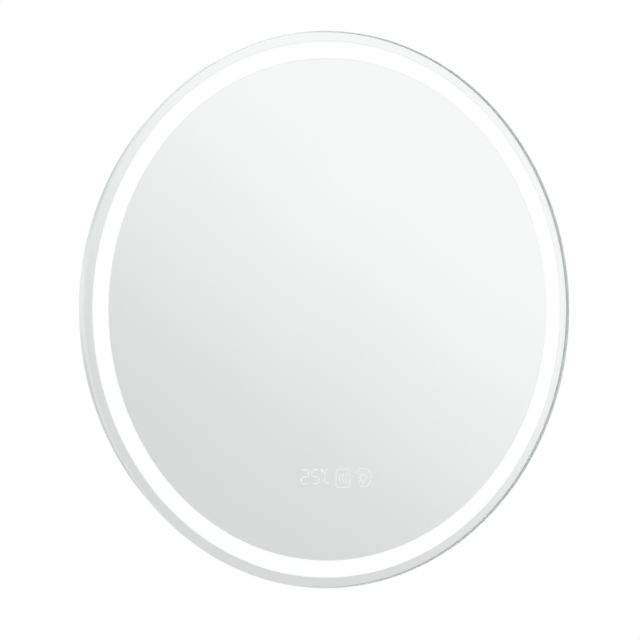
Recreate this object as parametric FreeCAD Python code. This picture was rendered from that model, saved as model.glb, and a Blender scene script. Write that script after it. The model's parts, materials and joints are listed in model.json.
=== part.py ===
# Round wall mirror with a lit ring, a small display with touch keys, and a lift-off cleat.
# Millimetres. X runs right as seen from the front, Y runs from the mirror to the wall, Z is up.
# The origin is the middle of the wall cleat's screw holes, on the wall.

import FreeCAD
import Part
import math
import os

from FreeCAD import Vector

# Mirror plate
mirror_diameter = 600.0
glass_thickness = 5.0
edge_bevel = 1.0
silver_thickness = 0.2
margin_width = 11.0  # mirrored margin outside the lit band
band_width = 19.0
film_gap = 0.05
cut_margin = 1.0  # how far a cutting tool reaches past what it cuts

# Depth of the body, from the glass front to the wall
body_depth = 30.0
pad_thickness = 2.0
recess_depth = 10.0  # back panel ahead of the frame's rear rim
panel_thickness = 1.0

# Frame hoop
glass_overhang = 8.0
hoop_wall = 1.5
lip_width = 6.0
tape_thickness = 0.8
tape_setback = 0.5
shelf_width = 18.5
rim_width = 5.5
hoop_corner = 1.0
seam_width = 0.5
splice_thickness = 1.2
splice_gap = 0.1
splice_end_gap = 0.5
splice_half_angle = 6.0
splice_rivet_radius = 1.6
splice_rivet_angles = [2.2, 4.6]
splice_head_radius = 3.0
splice_head_crown = 1.8
splice_head_height = 1.0
splice_tail_radius = 2.5
rivet_clearance = 0.05
rivet_seat = 0.02

# Light ring
diffuser_thickness = 2.0
diffuser_overlap = 1.5
diffuser_gap = 0.5
reflector_wall = 1.2
reflector_gap = 0.3
reflector_foot_gap = 6.5
reflector_foot_thickness = 1.0
led_tape_width = 8.0
led_tape_thickness = 0.4
led_tape_gap = 0.1
led_tape_end_gap = 2.0
led_seat = 0.02
led_count = 72
led_length = 3.5
led_width = 2.8
led_height = 0.7

# Back panel
panel_clearance = 2.0
bead_inset = 36.0  # middle of the raised bead, in from the panel's edge
bead_width = 14.0
bead_height = 1.5
bead_ramp = 2.0
panel_screw_count = 8
screw_radius = 1.5
screw_head_radius = 2.75
screw_head_height = 1.8
screw_head_taper = 0.5
screw_clearance = 0.2
screw_point = 1.0
foam_radius = 15.0
foam_inset = 27.0  # in from the bead's middle
foam_angle = 20.0
bumper_radius = 2.8
bumper_angle = 45.0

# Hanging cleats
cleat_drop = 170.0  # wall holes below the mirror's top
wall_cleat_length = 260.0
mirror_cleat_length = 280.0
cleat_thickness = 1.5
cleat_bend = 1.0
cleat_gap = 0.3
cleat_edge_radius = 0.7
wall_base_drop = 12.0
wall_web_rise = 9.0
wall_hook_rise = 14.0
hook_tip_gap = 3.0
mirror_base_rise = 22.0
wall_hole_radius = 2.6
wall_slot_length = 12.0
wall_slot_spacing = 160.0
wall_hole_spacing = 220.0
cleat_rivet_radius = 2.0
cleat_rivet_pitch = 48.0
cleat_rivet_count = 6
cleat_rivet_head_radius = 4.0
cleat_rivet_head_crown = 2.0
cleat_rivet_head_height = 1.3
cleat_rivet_tail_radius = 3.0
cleat_rivet_tail_height = 1.2

# Demister pad
demister_width = 280.0
demister_height = 240.0
demister_thickness = 0.4
demister_corner = 15.0
demister_block_width = 16.0
demister_block_height = 12.0
demister_block_depth = 9.0
demister_block_corner = 2.0
demister_block_inset = 15.0  # its left side, in from the pad's right edge
demister_block_rise = 14.0  # its middle above the pad's lower edge

# Controls behind the display and the two touch keys
control_rise = 119.0  # display and keys above the mirror's lowest point
holder_width = 112.0
holder_height = 36.0
holder_wall = 1.5
holder_flange = 5.0
holder_corner = 4.0
holder_back_gap = 2.3
board_thickness = 1.4
board_margin = 2.5
board_gap = 4.4
board_corner = 1.5
board_post_radius = 2.6
board_screw_inset = 7.5
board_screw_radius = 1.1
board_screw_clearance = 0.1
board_screw_length = 3.5
board_screw_head_radius = 2.0
board_screw_head_height = 1.4
display_x = -25.6
display_width = 38.0
display_height = 17.0
display_gap = 0.2
display_corner = 0.6
key_places = [5.8, 33.8]
touch_pad_radius = 8.0
connector_width = 12.0
connector_height = 8.0
connector_depth = 4.0
connector_chamfer = 0.5
connector_inset = 20.0  # its middle, in from the holder's right side
connector_drop = 4.0  # its top below the holder's top

# Electrics tray in the back
tray_width = 200.0
tray_height = 80.0
tray_drop = 25.0
tray_wall = 1.6
tray_corner = 4.0
tray_flange = 8.0
tray_air = 0.9
tray_clearance = 0.5
tray_screw_inset = 12.0
tray_top_screw_spacing = 120.0
gusset_reach = 5.0
gusset_rise = 4.5
gusset_thickness = 1.6
gusset_top_places = [-85.0, -30.0, 30.0, 85.0]
gusset_low_places = [-80.0, 15.0]
entry_width = 30.0
entry_gap = 0.2
entry_corner = 2.0
entry_post_radius = 3.2
entry_post_inset = 8.0
entry_screw_length = 8.0
cover_thickness = 1.6
cover_recess = 1.4
cover_seat = 3.0
cover_lip = 1.2
cover_lip_depth = 3.0
cover_lip_gap = 0.5
cover_lip_corner = 2.0
cover_lip_rise = 4.0  # clear of the hinge side, so that the cover can swing
cover_edge_radius = 0.6
cover_rib_places = [-30.0, 60.0]
cover_rib_height = 1.6
cover_notch_x = 70.0
cover_notch_width = 18.0
cover_notch_depth = 1.2
knuckle_radius = 2.6
knuckle_drop = 3.4
knuckle_length = 16.0
knuckle_gap = 0.3
hinge_pin_radius = 1.0
hinge_pin_clearance = 0.05
hinge_places = [-40.0, 70.0]
cover_screw_x = 15.0
cover_screw_inset = 9.0
cover_screw_boss = 4.0
cover_screw_clearance = 0.4
cover_screw_seat = 0.1
cover_screw_head_radius = 3.5
cover_screw_head_height = 1.2
cover_screw_point = 4.0
cover_slot_width = 1.0
cover_slot_depth = 0.7
boss_floor = 4.0
cable_radius = 4.0
grommet_neck = 2.0
grommet_flange = 1.6
grommet_lip = 1.2
grommet_clearance = 0.05

# Driver and mains terminals in the tray
driver_left = -24.0
driver_length = 90.0
driver_height = 38.0
driver_depth = 16.0
driver_corner = 2.0
driver_fillet = 1.0
driver_groove_count = 7
driver_groove_width = 2.0
driver_groove_length = 26.6
driver_groove_depth = 0.8
driver_groove_pitch = 10.0
ear_length = 10.0
ear_height = 10.0
ear_thickness = 3.0
ear_corner = 1.5
driver_bush_radius = 2.4
driver_bush_length = 2.0
driver_rail_places = [-4.0, 46.0]
driver_rail_length = 16.0
driver_rail_height = 5.0
driver_rail_gap = 0.3
terminal_left = -62.0
terminal_width = 18.0
terminal_depth = 13.0
pole_pitch = 11.0
pole_count = 3
pole_gap = 2.0
pole_corner = 1.5
pole_base_drop = 4.0
pole_tunnel_radius = 2.0
pole_tunnel_rise = 4.5
pole_well_radius = 2.2
pole_well_spacing = 9.0
pole_screw_clearance = 0.1
pole_screw_rise = 7.5
pole_screw_sink = 2.0
pole_slot_width = 0.8
pole_slot_depth = 0.8

# Leads
lead_diameter = 1.8
lead_clearance = 0.3
lead_bend_share = 0.45
lead_grommet_radius = 2.6
lead_collar_width = 0.5
lead_collar_depth = 1.0
clip_radius = 4.5
clip_cap = 2.4
led_lead_angle = -60.0
led_last_run = 34.0
control_last_run = 3.0
demister_last_run = 10.0
mains_lead_drop = 5.0  # brown cores' entry below the driver's middle
mains_lead_spacing = 8.0
mains_lead_grip = 4.0
mains_lead_first = 0.3  # bends, as shares of the way to the terminals
mains_lead_second = 0.65
clip_runs = [("led_lead", 9), ("led_lead", 11), ("control_lead", 8)]  # which run of a lead each clip holds

# Places worked out from the sizes
mirror_radius = mirror_diameter / 2
cleat_height = mirror_radius - cleat_drop
mirror_z = -cleat_height
front_y = -(pad_thickness + body_depth)
glass_back_y = front_y + glass_thickness
silver_back_y = glass_back_y + silver_thickness
lip_front_y = silver_back_y + tape_thickness
rim_back_y = -pad_thickness
rim_front_y = rim_back_y - hoop_wall
panel_back_y = rim_back_y - recess_depth
panel_front_y = panel_back_y - panel_thickness
shelf_front_y = panel_front_y - hoop_wall
hoop_outer = mirror_radius - glass_overhang
hoop_inner = hoop_outer - hoop_wall
lip_outer = hoop_outer + lip_width
shelf_inner = hoop_inner - shelf_width
rim_inner = hoop_inner - rim_width
panel_radius = rim_inner - panel_clearance
panel_screw_circle = (shelf_inner + panel_radius) / 2
bead_radius = panel_radius - bead_inset
foam_circle = bead_radius - foam_inset
band_outer = mirror_radius - margin_width
band_inner = band_outer - band_width
diffuser_inner = band_inner - diffuser_overlap
diffuser_outer = hoop_inner - diffuser_gap
reflector_outer = diffuser_inner - reflector_gap
reflector_inner = reflector_outer - reflector_wall
reflector_foot = hoop_inner - reflector_foot_gap
foot_front_y = shelf_front_y - reflector_foot_thickness
led_tape_outer = hoop_inner - led_tape_gap
led_tape_inner = led_tape_outer - led_tape_thickness
led_y = (silver_back_y + diffuser_thickness + foot_front_y) / 2
demister_back_y = silver_back_y + demister_thickness
demister_block_x = demister_width / 2 - demister_block_inset
demister_block_z = -demister_height / 2 + demister_block_rise
lead_radius = lead_diameter / 2
control_drop = mirror_radius - control_rise
holder_back_y = panel_front_y - holder_back_gap
board_back_y = holder_back_y - holder_wall - board_gap
board_front_y = board_back_y - board_thickness
connector_x = holder_width / 2 - connector_inset
connector_top = -control_drop + holder_height / 2 - connector_drop
lead_y = board_back_y + connector_depth / 2
tray_front_y = demister_back_y + tray_air
tray_floor_y = tray_front_y + tray_wall
tray_back_y = rim_back_y - cover_recess - cover_thickness
cover_back_y = tray_back_y + cover_thickness
tray_bottom = -tray_drop - tray_height / 2
tray_top = -tray_drop + tray_height / 2
tray_right = tray_width / 2
entry_edge = -tray_right + entry_width
hinge_z = tray_bottom - knuckle_drop
screw_boss_z = tray_top - cover_screw_inset
cable_x = -tray_right + entry_width / 2
driver_right = driver_left + driver_length
driver_back_y = tray_floor_y + driver_depth
driver_top = -tray_drop + driver_height / 2
driver_bottom = -tray_drop - driver_height / 2
ear_back_y = tray_floor_y + ear_thickness
terminal_right = terminal_left + terminal_width
terminal_back_y = tray_floor_y + terminal_depth
wire_y = tray_floor_y + pole_tunnel_rise

# Leads inside the tray, as shares of the way from the driver's end to the tray's side,
# and drops from the tray's middle
control_start = [(0, 13), (0.176, 13), (0.324, 16), (0.397, 22), (0.412, 32), (0.368, 47)]
led_start = [(0, 6), (0.206, 6), (0.397, 9), (0.515, 15), (0.565, 23), (0.588, 33), (0.638, 48)]
demister_start = [(0, -1), (0.235, -1), (0.471, 1.5), (0.647, 7), (0.75, 15), (0.794, 25), (0.815, 37)]

# Behind the mirror, as shares of the way to the lead's far end, and how far the lead bows
# to the left of it
control_bows = [(0.215, 2.2), (0.415, -4.5), (0.605, -9.0), (0.81, -10.2)]
led_bows = [(0.146, 3.1), (0.32, 5.7), (0.505, 7.0), (0.69, 6.4), (0.857, 4.1)]
demister_bows = [(0.25, -3.0), (0.5, -5.7), (0.76, -6.0)]


def place(x, y, z):
    """A point given from the mirror's centre."""
    return Vector(x, y, mirror_z + z)


def disc(radius, y_start, y_end, x=0.0, z=0.0):
    return Part.makeCylinder(radius, y_end - y_start, place(x, y_start, z), Vector(0, 1, 0))


def ring(inner, outer, y_start, y_end, x=0.0, z=0.0):
    return disc(outer, y_start, y_end, x, z).cut(disc(inner, y_start, y_end, x, z))


def box(x_start, x_end, y_start, y_end, z_start, z_end):
    size = (x_end - x_start, y_end - y_start, z_end - z_start)
    return Part.makeBox(*size, place(x_start, y_start, z_start))


def rounded_loop(corners, radii):
    """Closed wire through the corners, each rounded by an arc of its radius."""
    starts = []
    ends = []
    arcs = []
    for index, corner in enumerate(corners):
        to_last = (corners[index - 1] - corner).normalize()
        to_next = (corners[(index + 1) % len(corners)] - corner).normalize()
        radius = radii[index]
        if radius == 0:
            starts.append(corner)
            ends.append(corner)
            arcs.append(None)
            continue
        half = to_last.getAngle(to_next) / 2
        reach = radius / math.tan(half)
        centre = corner + (to_last + to_next).normalize() * (radius / math.sin(half))
        middle = centre + (corner - centre).normalize() * radius
        starts.append(corner + to_last * reach)
        ends.append(corner + to_next * reach)
        arcs.append(Part.Arc(starts[-1], middle, ends[-1]).toShape())
    edges = []
    for index in range(len(corners)):
        if arcs[index]:
            edges.append(arcs[index])
        following = starts[(index + 1) % len(corners)]
        if (following - ends[index]).Length > 1e-6:
            edges.append(Part.LineSegment(ends[index], following).toShape())
    return Part.Wire(edges)


def plate(width, height, corner, y_start, y_end, x=0.0, z=0.0):
    """Flat piece with rounded corners, square to Y."""
    half_w = width / 2
    half_h = height / 2
    signs = [(-1, -1), (1, -1), (1, 1), (-1, 1)]
    corners = [place(x + i * half_w, y_start, z + j * half_h) for i, j in signs]
    face = Part.Face(rounded_loop(corners, [corner] * 4))
    return face.extrude(Vector(0, y_end - y_start, 0))


def revolved(profile, radii=None):
    """Turns a closed outline of (radius, y) points about the mirror's axis."""
    corners = [place(r, y, 0) for r, y in profile]
    face = Part.Face(rounded_loop(corners, radii or [0] * len(corners)))
    return face.revolve(place(0, 0, 0), Vector(0, 1, 0), 360)


def on_circle(radius, degrees):
    angle = math.radians(degrees)
    return radius * math.cos(angle), radius * math.sin(angle)


def evenly(count):
    """Angles of a ring of holes, the first half a step past +X."""
    return [(index + 0.5) * 360 / count for index in range(count)]


def pan_screw(x, z, head_y, length, radius=screw_radius):
    """Pan-head screw driven towards the glass, its head resting on head_y."""
    shank = disc(radius, head_y - length, head_y, x, z)
    base = place(x, head_y, z)
    crown = screw_head_radius - screw_head_taper
    head = Part.makeCone(screw_head_radius, crown, screw_head_height, base, Vector(0, 1, 0))
    return shank.fuse(head).removeSplitter()


def rear_edges(solid, level):
    return [edge for edge in solid.Edges if edge.BoundBox.YMin > level - film_gap]


def bored(solid, places, radius, y_start, y_end):
    for x, z in places:
        solid = solid.cut(disc(radius, y_start, y_end, x, z))
    return solid


def folded_strip(path, inner_radius, thickness, length, edge_radius):
    """Sheet strip bent along X: path holds its middle line as (y, z) points from the holes' line."""
    points = [Vector(0, y, z) for y, z in path]
    normals = []
    for first, second in zip(points, points[1:]):
        along = (second - first).normalize()
        normals.append(Vector(0, -along.z, along.y))
    sides = []
    side_radii = []
    for side in (1, -1):
        row = [points[0] + normals[0] * (side * thickness / 2)]
        radii = [0]
        for index in range(1, len(points) - 1):
            before = normals[index - 1]
            after = normals[index]
            turn = before.cross(after).x
            row.append(points[index] + (before + after) * (side * thickness / 2 / (1 + before.dot(after))))
            radii.append(inner_radius if turn * side > 0 else inner_radius + thickness)
        row.append(points[-1] + normals[-1] * (side * thickness / 2))
        radii.append(edge_radius)
        sides.append(row)
        side_radii.append(radii)
    corners = sides[0] + sides[1][::-1]
    face = Part.Face(rounded_loop(corners, side_radii[0] + side_radii[1][::-1]))
    face.translate(Vector(-length / 2, 0, 0))
    return face.extrude(Vector(length, 0, 0))


def lead(route, depth=None):
    """Round lead through the route, its bends as large as their two runs allow."""
    level = lead_y if depth is None else depth
    points = [place(x, level, z) for x, z in route]
    edges = []
    radii = []
    last = points[0]
    for before, corner, after in zip(points, points[1:], points[2:]):
        back = before - corner
        ahead = after - corner
        shorter = min(back.Length, ahead.Length)
        turn = math.pi - back.getAngle(ahead)
        radii.append(lead_bend_share * shorter / math.tan(turn / 2))
        start = corner + back.normalize() * (lead_bend_share * shorter)
        end = corner + ahead.normalize() * (lead_bend_share * shorter)
        reach = radii[-1] / math.cos(turn / 2) - radii[-1]
        middle = corner + (back + ahead).normalize() * reach
        edges.append(Part.LineSegment(last, start).toShape())
        edges.append(Part.Arc(start, middle, end).toShape())
        last = end
    edges.append(Part.LineSegment(last, points[-1]).toShape())
    spine = Part.Wire(edges)
    along = (points[1] - points[0]).normalize()
    section = Part.Wire([Part.makeCircle(lead_radius, points[0], along)])
    tube = spine.makePipeShell([section], True, False)
    ideal = math.pi * lead_radius**2 * spine.Length
    share = tube.Volume / ideal
    print(f"lead {spine.Length:.0f} mm, least bend {min(radii):.1f} mm, volume {share:.4f} of ideal")
    return tube


def lead_hole(x, z, direction, length, radius):
    """Round tool at the leads' depth, along a direction in the mirror's plane."""
    along = Vector(direction[0], 0, direction[1]).normalize()
    return Part.makeCylinder(radius, length, place(x, lead_y, z) - along * (length / 2), along)


def tray_run(steps):
    """A lead's points inside the tray."""
    reach = tray_right - driver_right
    return [(driver_right + share * reach, -tray_drop - drop) for share, drop in steps]


def bowed_run(start, end, bows):
    """Points on the way from start to end, each set off to the left of the straight line."""
    across, rise = end[0] - start[0], end[1] - start[1]
    length = math.hypot(across, rise)
    return [(start[0] + share * across - bow * rise / length, start[1] + share * rise + bow * across / length)
            for share, bow in bows]


def crossing(route, level):
    """Where a route passes a height, for the hole that lets it through."""
    for (x0, z0), (x1, z1) in zip(route, route[1:]):
        if z0 >= level >= z1:
            return x0 + (x1 - x0) * (z0 - level) / (z0 - z1)


panel_screw_places = [on_circle(panel_screw_circle, angle) for angle in evenly(panel_screw_count)]
rivet_span = cleat_rivet_pitch * (cleat_rivet_count - 1)
cleat_step = (-panel_back_y + cleat_gap) / 2
cleat_half = cleat_thickness / 2
wall_hook_top = wall_web_rise + wall_hook_rise
mirror_web_z = wall_hook_top + cleat_half
mirror_hook_z = wall_web_rise + cleat_half + hook_tip_gap
cleat_base_top = mirror_web_z + mirror_base_rise
cleat_rivet_z = cleat_height + (mirror_web_z + cleat_base_top) / 2
cleat_rivet_places = [(index * cleat_rivet_pitch - rivet_span / 2, cleat_rivet_z)
                      for index in range(cleat_rivet_count)]
tray_screw_x = tray_right + tray_flange / 2
tray_screw_z = tray_height / 2 - tray_screw_inset
tray_screw_places = [(side * tray_screw_x, -tray_drop + level * tray_screw_z)
                     for side in (-1, 1) for level in (-1, 1)]
tray_screw_places += [(side * tray_top_screw_spacing / 2, tray_top + tray_flange / 2) for side in (-1, 1)]
entry_post_x = -tray_right + entry_post_inset
entry_post_levels = [tray_bottom + entry_post_inset, tray_top - entry_post_inset]
entry_post_places = [(entry_post_x, level) for level in entry_post_levels]
driver_ear_z = driver_top - ear_height / 2
driver_ear_columns = [driver_left - ear_length / 2, driver_right + ear_length / 2]
driver_ear_places = [(column, driver_ear_z) for column in driver_ear_columns]
board_screw_x = holder_width / 2 - board_screw_inset
board_screw_z = holder_height / 2 - board_screw_inset
board_screw_places = [(side * board_screw_x, level * board_screw_z - control_drop)
                      for side in (-1, 1) for level in (-1, 1)]
pole_levels = [-tray_drop + (index - (pole_count - 1) / 2) * pole_pitch for index in range(pole_count)]
mains_entry_levels = [-tray_drop - mains_lead_drop - mains_lead_spacing * step for step in (1, 0)]
terminal_x = terminal_left + terminal_width / 2
well_places = [(terminal_x + side * pole_well_spacing / 2, level)
               for level in pole_levels for side in (-1, 1)]

# Whole routes, driver end first: each run-in is square to the face where the lead ends
control_run = connector_height + control_last_run
control_ends = [(connector_x, connector_top + run) for run in (control_run, 0)]
control_route = tray_run(control_start)
control_route += bowed_run(control_route[-1], control_ends[0], control_bows) + control_ends
led_ends = [on_circle(led_tape_inner - run, led_lead_angle) for run in (led_last_run, 0)]
led_route = tray_run(led_start)
led_route += bowed_run(led_route[-1], led_ends[0], led_bows) + led_ends
demister_ends = [(demister_block_x - run, demister_block_z) for run in (demister_last_run, 0)]
demister_route = tray_run(demister_start)
demister_route += bowed_run(demister_route[-1], demister_ends[0], demister_bows) + demister_ends
lead_routes = {"control_lead": control_route, "led_lead": led_route, "demister_lead": demister_route}
tray_exits = [(crossing(route, tray_bottom), tray_bottom + tray_wall / 2) for route in lead_routes.values()]


def mirror_glass():
    outline = [
        (0, front_y),
        (mirror_radius - edge_bevel, front_y),
        (mirror_radius, front_y + edge_bevel),
        (mirror_radius, glass_back_y - edge_bevel),
        (mirror_radius - edge_bevel, glass_back_y),
        (0, glass_back_y),
    ]
    return revolved(outline)


def mirror_silver():
    middle = disc(band_inner - film_gap, glass_back_y, silver_back_y)
    margin = ring(band_outer + film_gap, mirror_radius - edge_bevel, glass_back_y, silver_back_y)
    return Part.makeCompound([middle, margin])


def frosted_band():
    return ring(band_inner, band_outer, glass_back_y, silver_back_y)


def bonding_tape():
    return ring(hoop_inner + tape_setback, lip_outer - tape_setback, silver_back_y, lip_front_y)


splice_outer = hoop_inner - splice_gap
splice_inner = splice_outer - splice_thickness


def splice_axes():
    """Start on the mirror's axis and outward direction of each rivet beside the seam."""
    level = (panel_back_y + rim_front_y) / 2
    angles = [-90 + side * angle for angle in splice_rivet_angles for side in (-1, 1)]
    return [(place(0, level, 0), Vector(math.cos(a), 0, math.sin(a))) for a in map(math.radians, angles)]


def splice_holes():
    inner = splice_inner - cut_margin
    length = hoop_outer + cut_margin - inner
    radius = splice_rivet_radius + rivet_clearance
    axes = splice_axes()
    return [Part.makeCylinder(radius, length, centre + along * inner, along) for centre, along in axes]


def frame_hoop():
    outline = [
        (lip_outer, lip_front_y),
        (lip_outer, lip_front_y + hoop_wall),
        (hoop_outer, lip_front_y + hoop_wall),
        (hoop_outer, rim_back_y),
        (rim_inner, rim_back_y),
        (rim_inner, rim_front_y),
        (hoop_inner, rim_front_y),
        (hoop_inner, panel_front_y),
        (shelf_inner, panel_front_y),
        (shelf_inner, shelf_front_y),
        (hoop_inner, shelf_front_y),
        (hoop_inner, lip_front_y),
    ]
    radii = [0] * len(outline)
    radii[3] = hoop_corner
    hoop = revolved(outline, radii)
    hoop = bored(hoop, panel_screw_places, screw_radius, shelf_front_y, panel_front_y)
    seam_ends = (-lip_outer - cut_margin, -shelf_inner + cut_margin)
    seam = box(-seam_width / 2, seam_width / 2, front_y, 0, *seam_ends)
    return hoop.cut([seam] + splice_holes())


def frame_splice():
    band = ring(splice_inner, splice_outer, panel_back_y + splice_end_gap, rim_front_y - splice_end_gap)
    half = splice_outer * math.sin(math.radians(splice_half_angle))
    sector = box(-half, half, panel_back_y, rim_front_y, -splice_outer, 0)
    return band.common(sector).cut(splice_holes())


def splice_rivets():
    rivets = []
    inner = splice_inner - splice_gap
    for centre, along in splice_axes():
        shank = Part.makeCylinder(splice_rivet_radius, hoop_outer - inner, centre + along * inner, along)
        head_base = centre + along * hoop_outer
        head = Part.makeCone(splice_head_radius, splice_head_crown, splice_head_height, head_base, along)
        tail_base = centre + along * (splice_inner - splice_head_height - rivet_seat)
        tail = Part.makeCylinder(splice_tail_radius, splice_head_height, tail_base, along)
        rivets.append(shank.fuse([head, tail]))
    return Part.makeCompound(rivets)


def diffuser_ring():
    return ring(diffuser_inner, diffuser_outer, silver_back_y, silver_back_y + diffuser_thickness)


def reflector_ring():
    outline = [
        (reflector_inner, silver_back_y + reflector_gap),
        (reflector_outer, silver_back_y + reflector_gap),
        (reflector_outer, foot_front_y),
        (reflector_foot, foot_front_y),
        (reflector_foot, shelf_front_y),
        (reflector_inner, shelf_front_y),
    ]
    channel = revolved(outline)
    channel = bored(channel, panel_screw_places, screw_radius + screw_clearance, foot_front_y, shelf_front_y)
    x, z = on_circle((reflector_inner + reflector_outer) / 2, led_lead_angle)
    return channel.cut(lead_hole(x, z, (x, z), reflector_foot_gap, lead_radius + lead_clearance))


def led_tape():
    tape = ring(led_tape_inner, led_tape_outer, led_y - led_tape_width / 2, led_y + led_tape_width / 2)
    half = led_tape_end_gap / 2
    return tape.cut(box(-half, half, front_y, 0, -hoop_outer, -shelf_inner))


def led_chips():
    chips = []
    seat = led_tape_inner - led_seat
    half_width = led_width / 2
    half_length = led_length / 2
    for angle in evenly(led_count):
        chip = box(seat - led_height, seat, led_y - half_width, led_y + half_width, -half_length, half_length)
        chips.append(chip.rotated(place(0, 0, 0), Vector(0, 1, 0), -angle))
    return Part.makeCompound(chips)


def back_panel():
    half = bead_width / 2
    line = [
        (0, 0),
        (bead_radius - half - bead_ramp, 0),
        (bead_radius - half, bead_height),
        (bead_radius + half, bead_height),
        (bead_radius + half + bead_ramp, 0),
        (panel_radius, 0),
    ]
    outline = [(r, panel_front_y + rise) for r, rise in line]
    outline += [(r, panel_back_y + rise) for r, rise in reversed(line)]
    panel = revolved(outline)
    hole_width = tray_width + 2 * tray_clearance
    hole_height = tray_height + 2 * tray_clearance
    hole_corner = tray_corner + tray_clearance
    depths = (panel_front_y, panel_back_y)
    panel = panel.cut(plate(hole_width, hole_height, hole_corner, *depths, 0, -tray_drop))
    panel = bored(panel, panel_screw_places, screw_radius + screw_clearance, *depths)
    panel = bored(panel, cleat_rivet_places, cleat_rivet_radius + rivet_clearance, *depths)
    return bored(panel, tray_screw_places, screw_radius, *depths)


def panel_screws():
    length = panel_back_y - foot_front_y + screw_point
    return Part.makeCompound([pan_screw(x, z, panel_back_y, length) for x, z in panel_screw_places])


def wall_cleat():
    path = [
        (-cleat_half, -wall_base_drop),
        (-cleat_half, wall_web_rise),
        (-cleat_step - cleat_half, wall_web_rise),
        (-cleat_step - cleat_half, wall_hook_top),
    ]
    strip = folded_strip(path, cleat_bend, cleat_thickness, wall_cleat_length, cleat_edge_radius)
    radius = wall_hole_radius
    for side in (-1, 1):
        centre = side * wall_slot_spacing / 2
        slot = plate(wall_slot_length, 2 * radius, radius, -cleat_thickness, 0, centre, cleat_height)
        round_hole = disc(radius, -cleat_thickness, 0, side * wall_hole_spacing / 2, cleat_height)
        strip = strip.cut([slot, round_hole])
    return strip


def mirror_cleat():
    base_y = panel_back_y + cleat_half
    path = [
        (base_y, cleat_base_top),
        (base_y, mirror_web_z),
        (base_y + cleat_step, mirror_web_z),
        (base_y + cleat_step, mirror_hook_z),
    ]
    strip = folded_strip(path, cleat_bend, cleat_thickness, mirror_cleat_length, cleat_edge_radius)
    hole_radius = cleat_rivet_radius + rivet_clearance
    return bored(strip, cleat_rivet_places, hole_radius, panel_back_y, panel_back_y + cleat_thickness)


def cleat_rivets():
    rivets = []
    head_y = panel_back_y + cleat_thickness
    for x, z in cleat_rivet_places:
        shank = disc(cleat_rivet_radius, panel_front_y, head_y, x, z)
        sizes = (cleat_rivet_head_radius, cleat_rivet_head_crown, cleat_rivet_head_height)
        head = Part.makeCone(*sizes, place(x, head_y, z), Vector(0, 1, 0))
        tail = disc(cleat_rivet_tail_radius, panel_front_y - cleat_rivet_tail_height, panel_front_y, x, z)
        rivets.append(shank.fuse([head, tail]))
    return Part.makeCompound(rivets)


def foam_spacers():
    angles = [foam_angle, 180 - foam_angle, 180 + foam_angle, -foam_angle]
    places = [on_circle(foam_circle, angle) for angle in angles]
    return Part.makeCompound([disc(foam_radius, silver_back_y, panel_front_y, x, z) for x, z in places])


def bumper_pads():
    angles = [bumper_angle, 180 - bumper_angle, 180 + bumper_angle, -bumper_angle]
    places = [on_circle((rim_inner + hoop_outer) / 2, angle) for angle in angles]
    return Part.makeCompound([disc(bumper_radius, rim_back_y, 0, x, z) for x, z in places])


def demister_pad():
    return plate(demister_width, demister_height, demister_corner, silver_back_y, demister_back_y)


def demister_block():
    centre = (demister_block_x + demister_block_width / 2, demister_block_z)
    size = (demister_block_width, demister_block_height, demister_block_corner)
    return plate(*size, demister_back_y, demister_back_y + demister_block_depth, *centre)


def control_holder():
    back = holder_back_y - holder_wall

    def pan(growth, start, end):
        size = (holder_width + 2 * growth, holder_height + 2 * growth, holder_corner + growth)
        return plate(*size, start, end, 0, -control_drop)

    flange = pan(holder_flange, silver_back_y, silver_back_y + holder_wall)
    holder = pan(0, silver_back_y, holder_back_y).fuse(flange).cut(pan(-holder_wall, silver_back_y, back))
    posts = [disc(board_post_radius, board_back_y, back, x, z) for x, z in board_screw_places]
    holder = bored(holder.fuse(posts), board_screw_places, board_screw_radius, board_back_y, back)
    top = -control_drop + holder_height / 2
    x = crossing(control_route, top)
    way = lead_hole(x, top - holder_wall / 2, (0, 1), 2 * holder_wall, lead_radius + lead_clearance)
    return holder.cut(way)


def control_board():
    width = holder_width - 2 * (holder_wall + board_margin)
    height = holder_height - 2 * (holder_wall + board_margin)
    board = plate(width, height, board_corner, board_front_y, board_back_y, 0, -control_drop)
    hole_radius = board_screw_radius + board_screw_clearance
    return bored(board, board_screw_places, hole_radius, board_front_y, board_back_y)


def control_screws():
    screws = []
    for x, z in board_screw_places:
        shank = disc(board_screw_radius, board_front_y, board_back_y + board_screw_length, x, z)
        head = disc(board_screw_head_radius, board_front_y - board_screw_head_height, board_front_y, x, z)
        screws.append(shank.fuse(head))
    return Part.makeCompound(screws)


def display_modules():
    width = display_width / 2 - display_gap
    depths = (silver_back_y + display_gap, board_front_y)
    size = (width, display_height, display_corner)
    places = [display_x + side * display_width / 4 for side in (-1, 1)]
    return Part.makeCompound([plate(*size, *depths, x, -control_drop) for x in places])


def touch_pads():
    pads = [disc(touch_pad_radius, silver_back_y, board_front_y, x, -control_drop) for x in key_places]
    return Part.makeCompound(pads)


def board_connector():
    half = connector_width / 2
    back = board_back_y + connector_depth
    bottom = connector_top - connector_height
    body = box(connector_x - half, connector_x + half, board_back_y, back, bottom, connector_top)
    return body.makeChamfer(connector_chamfer, rear_edges(body, back))


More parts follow.
